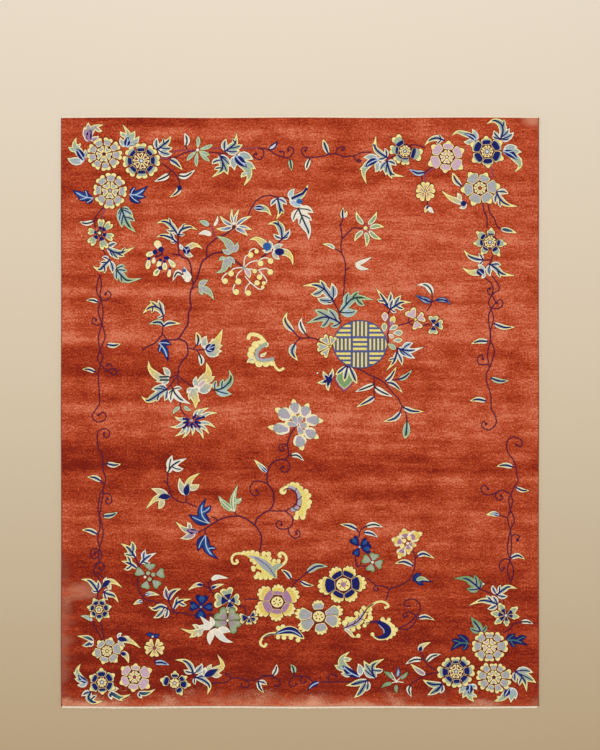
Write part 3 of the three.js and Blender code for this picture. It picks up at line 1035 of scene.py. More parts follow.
# Petals: foot, tip, width
OUTER_PETALS = (
    ((289.5,430), (268.5,427), 11.5), ((291,418), (275.5,408.5), 13), ((296,414), (293.3,399.5), 11.5),
    ((303,417), (308,403.5), 12), ((305.5,419.5), (323,421), 11.5), ((304.5,430), (318.5,438), 11.5),
    ((298,435), (302.5,450), 13),
)
INNER_PETALS = (
    ((298,425), (284.5,423), 6.4), ((298,424.5), (291.8,413.5), 6.8), ((298.5,424), (301.3,414.3), 6.4),
    ((299,425.3), (309,425.3), 6.6), ((298,426.5), (303.3,436), 7.2),
)
loose_petals("cloud", OUTER_PETALS)
loose_petals("cloud", INNER_PETALS, "round")
print(len(patches), "patches")

# %% Its stem and shoots
curl((287.5,446.5, 285,444.5, 281,444.5, 278.5,447, 279.5,450, 282.5,451, 284.5,449, 282.5,447.5),
      0.8)
curl((284.5,459.5, 288.5,462, 290,467, 288,471, 285,472.2, 282,471, 280.8,468.5, 283,467), 1.2)
leaf("snow", 5.6, (291.5,455.5, 297.5,455.5, 304,461))
vine((289,455.5, 291.5,455.5))
leaf("night_frost", 6, (266.8,472, 261,466.5, 254,459.3))
curl((267.5,484, 263,482, 257.5,481, 252.5,483, 250,488, 251,493, 254,495.5, 257.5,495,
      258.8,492.5, 256.5,490.5), 1.2)
vine((269.5,510.8, 276,511, 285,510.8, 289,509, 293,507))
curl((285,511, 289,514, 292.5,518, 292.5,523, 290,527, 285.5,529, 280,528.8, 276.3,526.3,
      276.5,522.5, 279.5,521, 282,522.8, 281.3,525), 1.1)
curl((288.5,528.5, 289,533, 291.5,536.5, 295,538.2, 299,537, 300,533, 298,530.5, 295.8,532,
      296.3,533.6), 1.2)
# Scallops of the curled leaf: place, radius
for place, radius in (
    ((283,491), 3.6), ((285.5,487.8), 2.2), ((289,486), 2.4), ((292.5,484.6), 2.8), ((297,485.2), 2.8),
    ((300.5,488.4), 2.6), ((305.8,491.5), 2.8), ((308.8,495.5), 2.6), ((306,498), 3.2),
    ((309.5,502), 2.6), ((308,506), 2.8), ((304.5,508.5), 3.0), ((303.5,513), 3.0), ((302.8,517), 2.8),
    ((296.2,517.5), 2.6), ((298,513.5), 3.0),
):
    dot(place, radius, "straw")
thread("lemon", 2.8, (299,515.5, 303.5,508, 304.5,500, 302,493, 296,487.5, 289,487))
thread("lavender", 1.9, (291,510, 296.5,508.5, 299.3,503, 299.3,497, 297.5,492, 293,488.3,
       288,487.6))
thread("wine", 0.6, (283.5,491, 286.5,488.7, 291.5,489.3, 295.5,492.5, 297,497, 296.5,502.5,
       292.5,507.5))
for line in ((296.5,501, 302,496.3), (296,504.5, 300.3,507), (293.5,508.5, 298,510.5),
        (295,492, 296.5,488)):
    thread("wine", 0.5, line)
for line in ((304,496, 308.5,494), (304.5,501, 310,499.5), (304,506, 308,506), (301,511, 303,516),
        (299.5,490.5, 301,487)):
    thread("gold", 0.4, line)
print(len(patches), "patches")

# %% Branch at the lower left
vine((168,472, 167.5,480, 168,485, 170,491, 172,496.5, 176,500, 182,502.5, 187,502.5, 191,504.5,
      197,507))
vine((164.3,480.5, 168,485.5))
vine((186,496, 186,502.5))
leaf("snow", 9.5, (167.5,473, 171.5,466.5, 178,462, 187,458.3), (172.3,455, 183.5,468.5))
leaf("night_gilt", 10, (186,496, 187,488, 191,479, 200,473), (179.3,477.5, 199.5,484))
leaf("night_gilt", 9.5, (170.5,497, 162,496.7, 154,500, 145.7,509.3), (150.8,488.5, 158,509))
leaf("night", 12, (209.5,523.5, 203,517, 201.5,508, 206,498), (188.5,514.5, 210.5,505))
leaf("flame", 9, (198,532, 190,531, 183,528.5, 175.5,521.5), (186.8,522, 180,538.5))
leaf("night", 11, (205.5,535.3, 206,545, 210,553, 218.5,559.3), (198,551.5, 216,549))
leaf("meadow", 9, (234.5,511.5, 233,503, 234,495, 238,484.5), (218.5,495.5, 241.5,497.5))
vine((198,532.5, 204,529.5, 211,525, 218,520.5, 224,518, 230,516.5, 238,516.3, 242,516.8, 248,520,
      254.5,525, 258,529.5, 261,535, 261.5,541, 260.5,547, 259.5,552), half=0.6)
vine((211,516.3, 215,518.3, 218,520.5))
vine((205,530, 205.5,535.5))
vine((234.5,511.5, 236,514.5, 238.8,516.8))
print(len(patches), "patches")

# %% Large acanthus leaf
thread("straw", 1.15, (260,558.5, 250,555.3, 243,553.8, 238,553.5, 234,554.7, 231.9,557.7, 231.9,561,
       233.6,563.5, 236.5,563.3, 237.8,561.5, 236.6,560.4), end=1.4)
thread("straw", 1.35, (275,570, 281,566, 285.3,562, 286.3,558, 284.3,554.3, 281,552.9, 278.6,554.6,
       280,556.3), end=1.9)
# Scallops of its edge: place, radius
for place, radius in (
    ((244,553), 2.3), ((248.2,552.9), 2.3), ((252.4,552.4), 2.5), ((257,553.8), 2.5), ((264,553.8), 2.6),
    ((268.6,554), 2.5), ((269.3,558.3), 2.4), ((274,560.8), 2.1), ((278.6,561), 2.2),
    ((251.5,560.3), 1.8), ((254.6,562.5), 2.2), ((253.3,568), 2.4), ((253.6,569.8), 2.0),
    ((258.3,574), 2.4), ((256,577), 2.4), ((260.7,577.7), 2.4), ((265.6,577.6), 2.4),
    ((270.5,577.8), 2.2),
):
    dot(place, radius, "straw")
patch([(243,554), (252,553.5), (258,555.5), (266,556), (271,562), (281,563.5), (277,571), (277,578.5),
      (259,576.5), (262,571),
       (255.5,568), (257,562.5), (250,558.5)], "lemon")
patch(blade(curve([(246,555.7), (255,557.8), (262,562.5), (269,568.5), (277,578.8)]), 8.5, 0.66),
      "lavender", "ash", ((252,557), (274,575)))
patch(blade(curve([(283,564), (277,566.5), (273.5,570.5), (276,578)]), 5.5, 0.5), "ash")
thread("slate", 0.45, (255,557.5, 262,561.8, 269,567.5, 275,577))
for line in ((247,555, 244.5,552.5), (251,555, 249,552.5), (255,556, 253,552.3),
        (259.5,557.5, 260.3,553.5), (264,559, 265.5,554), (257,562, 252,560.5), (259,567, 254,569),
        (264,573, 258.5,575.5), (271,562, 271.3,559)):
    thread("gold", 0.38, line)
print(len(patches), "patches")

# %% [markdown]
# ## The flower bank along the bottom
#
# The bottom of the field is a bank of large flowers, with small heart-petalled blooms, two more acanthus
# scrolls and trailing leaves on either side. The corner sprays below it match those at the top.

# %% Bank of flowers
leaf("frost", 6, (291,579, 281,569.5))
vine((292,579.5, 298,580, 308,571.5))
leaf("moss", 7, (307,572.5, 328,566.5), bend=-0.15)
leaf("frost", 5, (300.5,581.5, 314,585.5))
vine((297,581, 293,585, 292,590))
vine((322,597, 329,594))
vine((355.5,556, 356,562, 358,568))
# Scallops of the two scrolls and the leaf between them: place, radius
for place, radius in (
    ((278.3,628.2), 2.4), ((283,626.9), 2.5), ((278,637.2), 2.2), ((284,637.5), 2.5), ((291,637.4), 2.5),
    ((298,640), 2.4), ((345,623), 3.0), ((347.6,619.2), 2.8), ((351.8,619.2), 2.6), ((356.6,613.6), 2.4),
    ((359,617), 2.8), ((361.8,611), 2.2), ((363.6,607.8), 2.2), ((370.3,609.3), 2.2),
    ((369.6,613.4), 2.2), ((370.3,618), 2.8), ((367,621.6), 2.8), ((364.6,625.6), 2.0),
    ((358.6,627.4), 2.2), ((353.4,629.6), 2.2), ((382.6,619.4), 2.3), ((388.9,619.6), 2.0),
    ((387,623.6), 2.2), ((392.8,626.6), 2.3), ((395.8,629.8), 2.3), ((393.8,633.8), 2.3),
    ((390.6,636.8), 1.9), ((387,638.6), 1.7),
):
    dot(place, radius, "straw")
thread("straw", 1.25, (276,633, 269,634, 263.5,637, 260.5,641.5, 261.2,645, 264.5,646.5, 266,644.5),
       end=1.5)
thread("navy", 0.5, (274,633.8, 268,634.8, 263,638.5))
patch(blade(curve([(304.5,639), (294,632), (285,631.5), (273,635)]), 10.5, 0.5), "straw")
patch(blade(curve([(303.5,638), (294,631), (285,630.8), (273,635)]), 7, 0.5), "navy")
thread("sky", 0.45, (301,636, 293,631.2, 285,631, 277,633.6))
thread("straw", 1.15, (368,608, 375,603, 381,601.5, 386,603, 388.6,606.3, 385.6,607.6), end=1.5)
patch(blade(curve([(343,629), (351,625), (359,620), (365,611.5), (374,603.5)]), 9.5, 0.45), "lemon")
patch(blade(curve([(343,629), (351,625), (358,621), (363,614), (368,607)]), 5.4, 0.4), "lavender")
thread("wine", 0.6, (343,628.5, 350,625.5, 357,622, 363,615, 367.5,608, 373.5,603.7))
for line in ((346.5,627, 348.5,622.5), (354,623.5, 355.8,620), (359,619.5, 358.6,615),
        (364,613, 362.6,609), (352,625, 356.5,626.5), (360,618.5, 365,620.5),
        (364.5,612, 368.5,612.5)):
    thread("wine", 0.42, line)
plain_leaf("scroll", 4.6, (344,629, 349,631.5, 352.5,636, 357,637.3))
dot((358.4,635.8), 2.2, "straw")
thread("straw", 0.95, (391,635, 386,638.6, 379,639.3, 374.5,637, 372.4,634.3), end=2.0)
thread("straw", 2.0, (382,621, 389,623.5, 393,629, 391.5,634.5, 386,638))
patch(blade(curve([(371.5,622.4), (377,622), (382.5,624.3), (387,628), (388,632), (385,636), (379,637.6),
      (374,636)]), 6.6, 0.52), "navy")
thread("wine", 0.6, (366,623, 372,622.5, 378,622.2))
thread("sky", 0.4, (379,625, 383.5,629.5, 384,633))
flower("honey", (277.3,602), around((277.3,602), -86, 17.5, 23.5, 20, 19.2, 23.5, 22.2), "lobed", 1.0,
       deep=0.64, core=(5.9, 0, "ring"))
flower("sun", (343.3,584.5), around((343.3,584.5), -124, 19.6, 19.6, 23, 19.6, 19.4, 25.5), "lobed", 1.0,
       deep=0.74, core=(7, 0, "ring"), heart=(2.6, "mauve", "gold"))
flower("cloud", (318.8,616.5), ((317.8,600.2), (342.6,609.6), (341,623.4), (322.2,634.6), (299,629.4),
       (295,613.2)), "lobed", 0.95, core=(5.9, 0, "ring"))
print(len(patches), "patches")

# %% Small blooms left of the bank
plain_leaf("snow", 5.6, (211.5,580, 217.5,577, 228.5,578.3))
leaf("night_gilt", 5.2, (203,585, 196.5,585, 188,590.3))
leaf("night_gilt", 4.8, (211,588.5, 216.5,586, 224.3,584))
vine((212,580.5, 209,582.5, 208.5,586, 211,591, 216,596.5))
vine((203,585, 208,588.3, 211,591))
leaf("dawn", 8.6, (168.5,600.3, 170.5,594.5, 175,590.7, 181.3,588.8), (166,586))
leaf("frost", 7.4, (173.5,609.5, 176.5,603.7, 182,600.6, 191.5,599), (178,596.5, 187,605))
leaf("frost", 8, (167.5,608.5, 160.5,606.5, 154,609, 148.3,606.3), (153,617.8, 163.7,617.8))
vine((168.5,600.5, 169.5,604, 172.5,608.5, 174.5,611, 177,614.8))
vine((167.5,608.5, 173,612, 185,613.5, 192,615, 213,615.2, 217,615))
NAVY_BLOOMS = (
    ((201,607), (((202.2,595.3), 12.5), ((190,606), 9.5), ((212.5,607), 8.5), ((200.5,618.5), 11))),
    ((359.5,547), (((352.5,538), 9), ((367.5,540.5), 8), ((370.5,549.5), 9.5), ((355,555.5), 7.5))),
)
for center, rows in NAVY_BLOOMS:
    for tip, width in rows:
        patch(petal(center, tip, width, "heart", 0.1, CARVED_WIDTH), None, layer=CARVED)
        patch(petal(center, tip, width, "heart", 0.1), "navy")
        patch(petal(center, between(center, tip, 0.9), 0.5 * width, "round", 0.4), "navy", "blue",
              (center, tip))
    disk(center, 1.2, "lavender", count=8)
flower("star", (229.3,601), ((226,588), (214.3,600), (239.8,599), (231.8,612.3)), "notched", 0.95,
       inner=0.08, deep=0.56, heart=(1.4, "white", "navy"), full=5)
vine((244.5,600, 250,599, 257,599.5))
vine((239,606, 244.5,607, 245.5,614))
vine((237,616, 243,613.5))
flower("clover", (227.5,620.5), ((218,611.5), (237,612), (238.5,628.7), (216.8,629)), "notched", 1.0,
       inner=0.08, heart=(1.3, "cream"), full=4)
flower("star", (249,617.3), ((239.8,618.8), (249,624.6), (257,621), (256.3,612.6)), "notched", inner=0.08,
       heart=(1.3, "white"), full=5)
vine((203,628.3, 208,628.6, 215,627), half=0.8)
plain_leaf("snow", 8, (212.5,627, 207,623.5, 200,616), (209.7,616.7, 197.7,625.5))
plain_leaf("gilt", 6.6, (205,628.5, 198,631.3, 190,631.7, 180.3,628.3),
           (192,625, 189,637.5, 197,637))
plain_leaf("snow", 9.4, (214.5,628.3, 218.5,634, 225,640, 233.3,642.5), (230.8,632.3, 210,645.3))
print(len(patches), "patches")

# %% Blooms and shoots right of the bank
leaf("corn", 6, (357,529.5, 349.5,525.8, 339.8,524.3))
leaf("snow", 6, (366,526.4, 374,524.5, 383.3,527.3))
leaf("ice", 5.6, (364,532.5, 371,533.3, 378,537.3))
vine((357,529.5, 359.5,532.5, 362,528.5, 366.5,526.3))
vine((359.5,532.5, 359,538))
vine((355,555, 355.5,560, 356.5,566, 359.5,566, 366,566))
vine((362.5,560.5, 359.5,566))
loose_petals("mist", (((371,561.5), (362.8,558.3), 9), ((373,560.5), (374.8,553.6), 9.5),
             ((374.5,562.8), (382,564.8), 9.5),
                        ((371.8,564), (370,571), 9)), "notched", 0.9)
disk((372.5,562.2), 1.4, "cream", count=8)
vine((408.5,544.5, 412,549, 414.5,554.5, 415.3,560, 414.5,567, 413,573, 410,579, 405,583,
      398,586.3, 391,588.5, 388.5,591, 387.5,596, 386,600))
vine((366.5,578, 371,581, 376,585.5, 382,586, 386.5,588, 389,589.5))
curl((376,585.7, 373.5,588.3, 375,591, 378,590.7, 378,588.6), 0.9)
vine((415.3,559, 417.5,556))
loose_petals("honey", (((405.5,537.5), (403.8,528.8), 11), ((409.5,538.5), (422,533), 11),
             ((402,542.5), (391.8,539), 10.5),
                       ((403,549), (398.8,558.5), 9.5), ((408,545.5), (408.7,554.3), 8), ((409.5,544),
                        (416.3,545.6), 7.5)))
for place, radius in (((404.2,540.8), 2.2), ((409.4,538.2), 2.3), ((402.2,546), 2.5)):
    dot(place, radius, "straw")
disk((407.7,543.4), 1.5, "cream", count=8)
leaf("corn", 6, (417.5,556, 424,553.7, 434.8,558.6))
leaf("frost", 6, (413,565.8, 404,561.7, 394.6,563.8))
plain_leaf("night", 7, (412,580, 421,579.5, 433,582), (421.5,573.3, 424,585))
plain_leaf("meadow", 4.6, (416.5,580.5, 422,578.3, 429.5,581))
curl((398,628.5, 404,626, 410,622.5, 414.5,617.5, 418.5,613.5, 420,609, 419.5,604, 416.5,600.5,
      411.5,599, 406.5,600.5, 404,603.5, 406,606.5, 410,606), 1.0)
vine((399,629.3, 408,629.3, 413,625, 416.5,618.5, 415,615.5, 409.5,612))
curl((409.5,612, 405,612.7, 402.8,615.5, 405,617.6, 407.3,616), 1.0)
leaf("corn", 5.6, (418.5,618, 426,616.8, 434.8,620.3))
leaf("night_gilt", 6.6, (420,651.5, 422,646.3, 430.8,642.2))
leaf("snow", 6, (426.5,661.5, 432,656.3, 441,654.2))
leaf("snow", 6, (421.5,659.7, 414,659.7, 405.3,664.3))
vine((420.5,652, 423.5,658.5, 426,663, 430,667, 436,670.5))
plain_leaf("dawn", 6.2, (425.3,674.8, 418,670.3, 410.5,663.7))
vine((440,672, 433,673.6, 425.5,674.8, 418,679.5, 412,683, 410,686))
leaf("snow", 5.6, (410,686, 408.8,690.5, 411.6,697.3))
ASTER = (396.5,681.5)
for tip in ((388,676), (390,683.5), (403.5,682.5), (391.5,672.5), (402,676)):
    thread("cream", 0.45, (*ASTER, *tip))
for dress, tip in (("pond", (397.8,666.8)), ("clover", (408,671.6)), ("ivy", (383.3,671.6)),
        ("ivy", (381,687.8)), ("clover", (397,693.2))):
    plain_leaf(dress, 4.6, (*between(ASTER, tip, 0.3), *tip))
disk(ASTER, 1.5, "cream", count=8)
leaf("frost", 11.5, (375.5,678.5, 372.3,671.5, 373.5,664.5, 384.5,658.8),
     (363.5,660.5, 362.8,667.3, 383,669))
leaf("night_frost", 12, (359.5,677, 350,672.5, 342.5,665, 342.3,658, 350,651.5),
     (352,658.5, 357.8,663.5, 334.3,665, 340.5,673.3), peak=0.42)
leaf("tide", 9, (367.5,680.5, 360,682.3, 353,684.3, 345.8,685.6),
     (353.7,698, 357.7,693, 365.3,691.5))
leaf("tide", 9, (442,684, 434,684.6, 428,682.8, 422.8,679.6), (427,695.3, 433.6,693, 440,693.5))
print(len(patches), "patches")

# %% Bottom left corner
leaf("frost", 8.4, (98,591.7, 94,585.5, 89,580.7, 80.7,579.3), (97.7,580, 91,589.6))
leaf("night_gilt", 8.4, (102,587.7, 108,582, 114,582, 122.3,587.7), (107,576.8, 111.5,589.7))
leaf("frost", 8, (104,592.3, 109,594.3, 114,596, 118.7,603), (110,589.7, 108,600.3))
vine((97,600, 98.5,592, 103.5,587))
leaf("frost", 9, (135.3,557.7, 131.5,552, 127.5,547.5, 120.7,543.3), (131.7,541, 123.7,553))
leaf("frost", 7.6, (137,568.5, 132,564.7, 127,562.6, 121,561), (126,555, 123.7,569.3))
leaf("ice", 8.4, (140.5,564, 145,559, 149.5,556, 156.5,552.8), (145.5,549.5, 150.5,562.5))
vine((135,557, 139,566, 140.5,564))
loose_petals("mist", (((144.5,574), (135.8,570.8), 8.5), ((150,570.3), (150,563.8), 11),
             ((156,574.3), (164,573), 10),
                        ((152.5,580.5), (159,586.3), 8.5), ((147,581), (144.8,588.6), 8.5)), "heart", 0.92)
for place in ((148,573.2), (153.2,574.6), (149.6,579.2)):
    dot(place, 2.1, "sage")
disk((145,577), 1.4, "cream", count=8)
vine((139,577, 137.5,582, 138,588, 141,595, 146,600, 152,601, 160,603.5, 167,608))
vine((142,596.5, 145.5,594.8))
leaf("night_frost", 5.2, (145.5,595, 151,593.6, 159.8,595.2))
leaf("night_frost", 5, (142.3,601.3, 138,602, 133,604.8))
plain_leaf("fern", 4.8, (92.5,620.7, 80.3,616))
vine((92.3,620.5, 95,627, 99,634, 102,641))
vine((100.5,621, 102,628, 104,638))
leaf("dusk", 7, (93.7,641.3, 89,638.3, 84,637, 76.7,636), (82,645.3, 88,646))
leaf("night_gilt", 8.4, (117.5,638.5, 124,639.5, 132,642, 140.7,648.3),
     (122,633, 130,637, 125.3,646.7))
leaf("night_gilt", 7, (121,653, 126,655.5, 128.7,663.3))
leaf("night_frost", 8.6, (87.7,682.7, 80.5,678, 77,671, 80.7,663.7), (73.3,672, 74.3,678.5, 77,685))
leaf("tide", 8.6, (91,691.5, 88.5,698, 94,702.3, 103.5,701), (81.3,696.5, 97.3,696))
leaf("dusk", 8, (110,691.3, 114.3,695, 121,697.3, 131,694.3), (119,689, 112.3,700.3, 123,701))
leaf("dusk", 7.4, (138,692.3, 143,693.6, 149,692.6, 155.3,689), (142.5,698.5))
flower("star", (99,609.5), around((99,609.5), -65, 12.6, 13, 13.2, 12.4, 12, 12.4, 12.6), "crested", 1.0,
       deep=0.72, core=(3.5, 5, "ring"), heart=(1.3, "white"), full=7)
flower("cloud", (106.9,651), around((106.9,651), -72, 14.4, 17, 15.3, 13.8, 15.3, 13.8), "crested", 1.0,
       core=(4.9, 5, "cloud"), heart=(1.1, "straw"))
flower("star", (101.9,682.3), around((101.9,682.3), -93, 14.6, 15.3, 14.8, 12.5, 14.6, 14.2), "crested",
       1.0, deep=0.74, core=(4.4, 5, "ring"), heart=(1.5, "white", "navy"))
flower("lilac", (134.5,677), around((134.5,677), -84, 13.8, 19, 18.7, 15.2, 16.4, 16.6), "crested", 1.0,
       core=(5.6, 5, "lilac"), heart=(1.1, "plum"))
plain_leaf("night", 5, (152.7,636, 146,634.3))
plain_leaf("night", 5, (152.7,636, 159.7,634.3))
dot((152.6,636.7), 1.0, "cream")
flower("petal", (154.3,648), ((148.3,641), (160.7,641), (145,650.3), (154.3,656.7), (163.7,650.7)),
       "notched", 1.0, inner=0.08, heart=(1.2, "plum"))
vine((154.5,656, 155,663))
leaf("sea", 5.4, (155,663, 162,662.6, 169.3,665.2))
print(len(patches), "patches")

# %% Bottom border
flower("star", (174.5,683.3), ((160,679.5), (175,670.7), (187.3,676.3), (191,685.2), (182.3,695.4)),
       "crested", 0.92, deep=0.74, core=(4.6, 5, "ring"), heart=(1.4, "white"), full=6)
leaf("frost", 9, (193.5,673.7, 190.5,666.5, 185,661.2, 175,659.7), (183.5,669.5, 202,663))
leaf("corn", 8.4, (195,677.3, 203,680, 209.5,686, 207,695), (209,676, 195.7,684.7))
leaf("night_gilt", 10.5, (204,676.7, 213,671.7, 222.5,665.5, 217.3,654.5),
     (212,664, 206,667, 222.3,675))
vine((193.5,673, 194.5,677.5))
curl((211,683.3, 225,682.5, 231,679, 238,678, 245,680, 249.5,684, 247,687.5, 242,687, 241.5,684.5),
      0.9)
curl((231,679, 229.5,674.5, 226,674), 1.1)
curl((245,680.3, 255,680, 262,677.5, 270,676.5, 277,678.5, 280.5,682.5, 278,686.5, 274.5,685.3),
      0.9)
vine((262,677.5, 263.5,675, 273,676.2))
curl((294,673, 293,677, 290,680, 289,685, 294,686.3, 296.3,684), 0.9)
vine((293,676.5, 303,676.3, 308,677.2, 313,681.5, 325,682, 340,682, 362,682))
curl((303,676.3, 300.5,680, 303,683.5, 305.5,682), 1.0)
curl((328.5,681.8, 328.5,676.5, 332,674, 336,675.8), 1.5)
leaf("snow", 6, (273,675.3, 276.7,664.3))
leaf("fern", 6, (294,673, 290.8,664.3))
leaf("night", 5, (318.7,682.3, 307.7,690.3))
leaf("corn", 6.6, (258,681.5, 264,693), (267,685.3))
print(len(patches), "patches")

# %% Bottom right corner
leaf("ivy", 11, (479.5,588.5, 473,583, 466,578.7, 453.5,578.5),
     (474,574.7, 480.3,579.7, 466.5,588.5))
dot((483.5,584), 1.0, "cream")
vine((479,588.5, 487,592, 494,596, 498,601, 502,604))
vine((503,596, 504,603))
leaf("frost", 8.4, (497,594.7, 503,590, 509,586.8, 517.3,588.7), (493.3,585, 501,584.7, 508,596))
leaf("frost", 8.4, (497.5,604.3, 490,601.5, 481,600.7, 468.7,605.7),
     (485.5,595.5, 491.5,595.5, 487,608.7))
leaf("snow", 5, (521,622, 533.3,624), bend=-0.1)
vine((503.5,632.5, 509,630, 513.5,624, 521,622))
leaf("ivy", 11, (481,632.5, 478.5,627, 474.5,622, 471,616.5), (469.7,627.3, 486.5,625))
leaf("ink", 9, (468.7,643.5, 461,643, 455,646.5, 450.7,651.3), (457,635, 451,640.3, 462,650))
leaf("ink", 9, (505,641, 513,640, 520,642, 528,645.8), (527,637, 516,634, 516,647))
leaf("night_frost", 11.5, (470,684.3, 469.5,691, 470,697, 474.3,702),
     (459,694, 462.7,698.5, 477.3,697.5, 477,690.3))
leaf("night_frost", 10, (509.5,687.3, 506,694, 501,699, 493.7,701.3),
     (510.7,703, 515.7,699.7, 496.5,697))
leaf("frost", 10.5, (515.5,671.3, 521,676, 525,681.7, 526.7,692),
     (536.5,683, 533.5,672.7, 516.3,683, 520,686))
flower("star", (506,615.5), ((499,603), (518,607), (519.5,617), (507,626.5), (494.5,624), (490.5,613)),
       "crested", 0.9, inner=0.1, deep=0.52, heart=(1.4, "white"))
flower("cloud", (489.4,646.3), around((489.4,646.3), -90, 14.4, 16.6, 18.6, 17, 15.2, 17, 17.4, 16.8),
       "notched", 1.0, core=(7, 5, "lilac"), heart=(1.3, "cream"))
flower("star", (456.1,671.5), around((456.1,671.5), -93, 14.6, 16.8, 18.7, 17.6, 16.2, 16.6, 18.9, 16.2),
       "notched", 1.0, core=(6.4, 5, "ring"), heart=(1.4, "white", "navy"))
flower("cloud", (493.9,677.4), around((493.9,677.4), -92, 14, 15.2, 18.3, 18, 16.3, 15.2, 17.2, 17.6, 16.8),
       "notched", 1.0, core=(6.6, 5, "cloud"), heart=(1.2, "wine"))
print(len(patches), "patches, the whole design")

# %% [markdown]
# ## The pile
#
# The whole design and the rug's outline go into one flat triangulation, so the pile is a single closed
# cloth whose triangles know their yarn. Clippers round the rim of the pile over, and a carver cuts a
# groove along each motif, so points on a motif's edge lie a little lower. The yarn is kept in a colour
# attribute: its alpha says where a dyed motif lies, and on the ground its colour is painted shade, darker
# in the carved line round each motif.

# %% Outline of the pile and its heights
PILE_SIDE = RUG_WIDTH / 2 - CORD
PILE_UP = RUG_LENGTH / 2 - TOP_WEB
PILE_DOWN = RUG_LENGTH / 2 - BOTTOM_WEB
RIM_FOOT = 4.6
RIM_INSETS = (0, 1.2, 3.8, PILE_ROUNDING)
CARVED_DEPTH = 1.3
SWAY = 0.5


def side_at(y):
    return PILE_SIDE - stray(y, SIDE_WAVE, SIDE_DRIFT)


def end_at(x, size):
    return size - stray(x, END_WAVE, END_DRIFT)


def edge_loop(inset, step=45):
    radius = max(CORNER_RADIUS - inset, 4.0)
    loop = []
    for turn, (sx, sy) in enumerate(((1, -1), (1, 1), (-1, 1), (-1, -1))):
        size = PILE_UP if sy > 0 else PILE_DOWN
        cx = sx * (side_at(sy * size) - inset - radius)
        cy = sy * (end_at(cx, size) - inset - radius)
        start = math.radians(-90 + 90 * turn)
        for k in range(5):
            angle = start + k * math.pi / 8
            loop.append((cx + radius * math.cos(angle), cy + radius * math.sin(angle)))
        if turn in (0, 2):  # up the right side, down the left
            to = sy * -1 * ((PILE_UP if turn == 0 else PILE_DOWN) - inset - radius)
            count = round(abs(to - cy) / step)
            for k in range(1, count):
                y = cy + (to - cy) * k / count
                loop.append((sx * (side_at(y) - inset), y))
        else:  # along the top to the left, along the bottom to the right
            count = round(2 * abs(cx) / step)
            for k in range(1, count):
                x = cx - 2 * cx * k / count
                loop.append((x, sy * (end_at(x, size) - inset)))
    return loop


def pile_height(x, y):
    inset = min(side_at(y) - abs(x), end_at(x, PILE_UP) - y, y + end_at(x, PILE_DOWN))
    share = max(0.0, min(1.0, inset / PILE_ROUNDING))
    sway = SWAY * math.sin(x / 190 + math.sin(y / 310)) * math.sin(y / 240) * share
    dome = math.sqrt(1 - (1 - share) ** 2)
    return RIM_FOOT + (PILE_TOP - RIM_FOOT) * dome + sway - SWAY * share + lift(x, y)


loops = [edge_loop(inset) for inset in RIM_INSETS]
print("pile", round(2 * PILE_SIDE), "by", round(PILE_UP + PILE_DOWN), "mm, outline of", len(loops[0]),
      "points")

# %% [markdown]
# ## One triangulation for the whole design
#
# The patches overlap, and only the topmost one shows. A constrained triangulation takes all outlines at
# once and tells which of them cover each triangle, so the last one gives the yarn. A sparse grid of
# points keeps the ground's triangles short. A box round each outline guards against a wrong cover.

# %% Triangulate the design
patches.sort(key=lambda p: p["layer"])
points, faces, boxes = [], [], []
for outline in loops + [p["points"] for p in patches]:
    faces.append(list(range(len(points), len(points) + len(outline))))
    points += [Vector(p) for p in outline]
    across, up = zip(*outline)
    boxes.append((min(across), max(across), min(up), max(up)))
GRID = 75
for column in range(-15, 16):
    for row in range(-19, 20):
        points.append(Vector((column * GRID, row * GRID)))
spots, _, triangles, came_from, _, covers = delaunay_2d_cdt(points, [], faces, 0, 0.02)
made_of = {}
for i, sources in enumerate(came_from):
    for source in sources:
        made_of[source] = i
rim = [made_of[i] for i in range(len(loops[0]))]
print(len(points), "points gave", len(triangles), "triangles")

# %% [markdown]
# ## Fewer triangles
#
# Where a patch lies over others, their hidden outlines still cut it up. No one sees these lines, so the
# edges between triangles of the same patch are dissolved, and the faces are made triangles again.

# %% Dissolve the covered lines
flat = bmesh.new()
top_layer = flat.faces.layers.int.new("top")
spot_layer = flat.verts.layers.int.new("spot")
corners_of = [flat.verts.new((s[0], s[1], 0.0)) for s in spots]
for i, vert in enumerate(corners_of):
    vert[spot_layer] = i
for corners, covered in zip(triangles, covers):
    if 0 not in covered:
        continue
    x, y = (sum(spots[c][i] for c in corners) / 3 for i in (0, 1))
    over = [k for k in covered if boxes[k][0] < x < boxes[k][1] and boxes[k][2] < y < boxes[k][3]]
    flat.faces.new([corners_of[c] for c in corners])[top_layer] = max(over) - len(loops)
flat.normal_update()
hidden = []
for edge in flat.edges:
    sides = {face[top_layer] for face in edge.link_faces}
    if len(edge.link_faces) == 2 and len(sides) == 1 and min(sides) >= 0:
        hidden.append(edge)
bmesh.ops.dissolve_limit(flat, angle_limit=0.02, edges=hidden, verts=[])
bmesh.ops.triangulate(flat, faces=[f for f in flat.faces if len(f.verts) > 3])
kept = [[v[spot_layer] for v in face.verts] for face in flat.faces]
tops = [face[top_layer] if face[top_layer] >= 0 else None for face in flat.faces]
flat.free()
print(len(kept), "triangles without the covered lines")

# %% [markdown]
# ## Yarn and carving
#
# A knot has one colour, but a weaver shades a petal by changing yarn from row to row. So each corner of a
# triangle gets its own mix of the foot's and the tip's yarn. Points that a motif shares with the ground
# lie in the carved line: they get painted shade here and are lowered in the next step.

# %% Give each corner its yarn, and the carved line its painted shade
motif_spots, ground_spots = set(), set()
for corners, top in zip(kept, tops):
    is_motif = top is not None and patches[top]["layer"] != CARVED
    (motif_spots if is_motif else ground_spots).update(corners)
carved = motif_spots & ground_spots
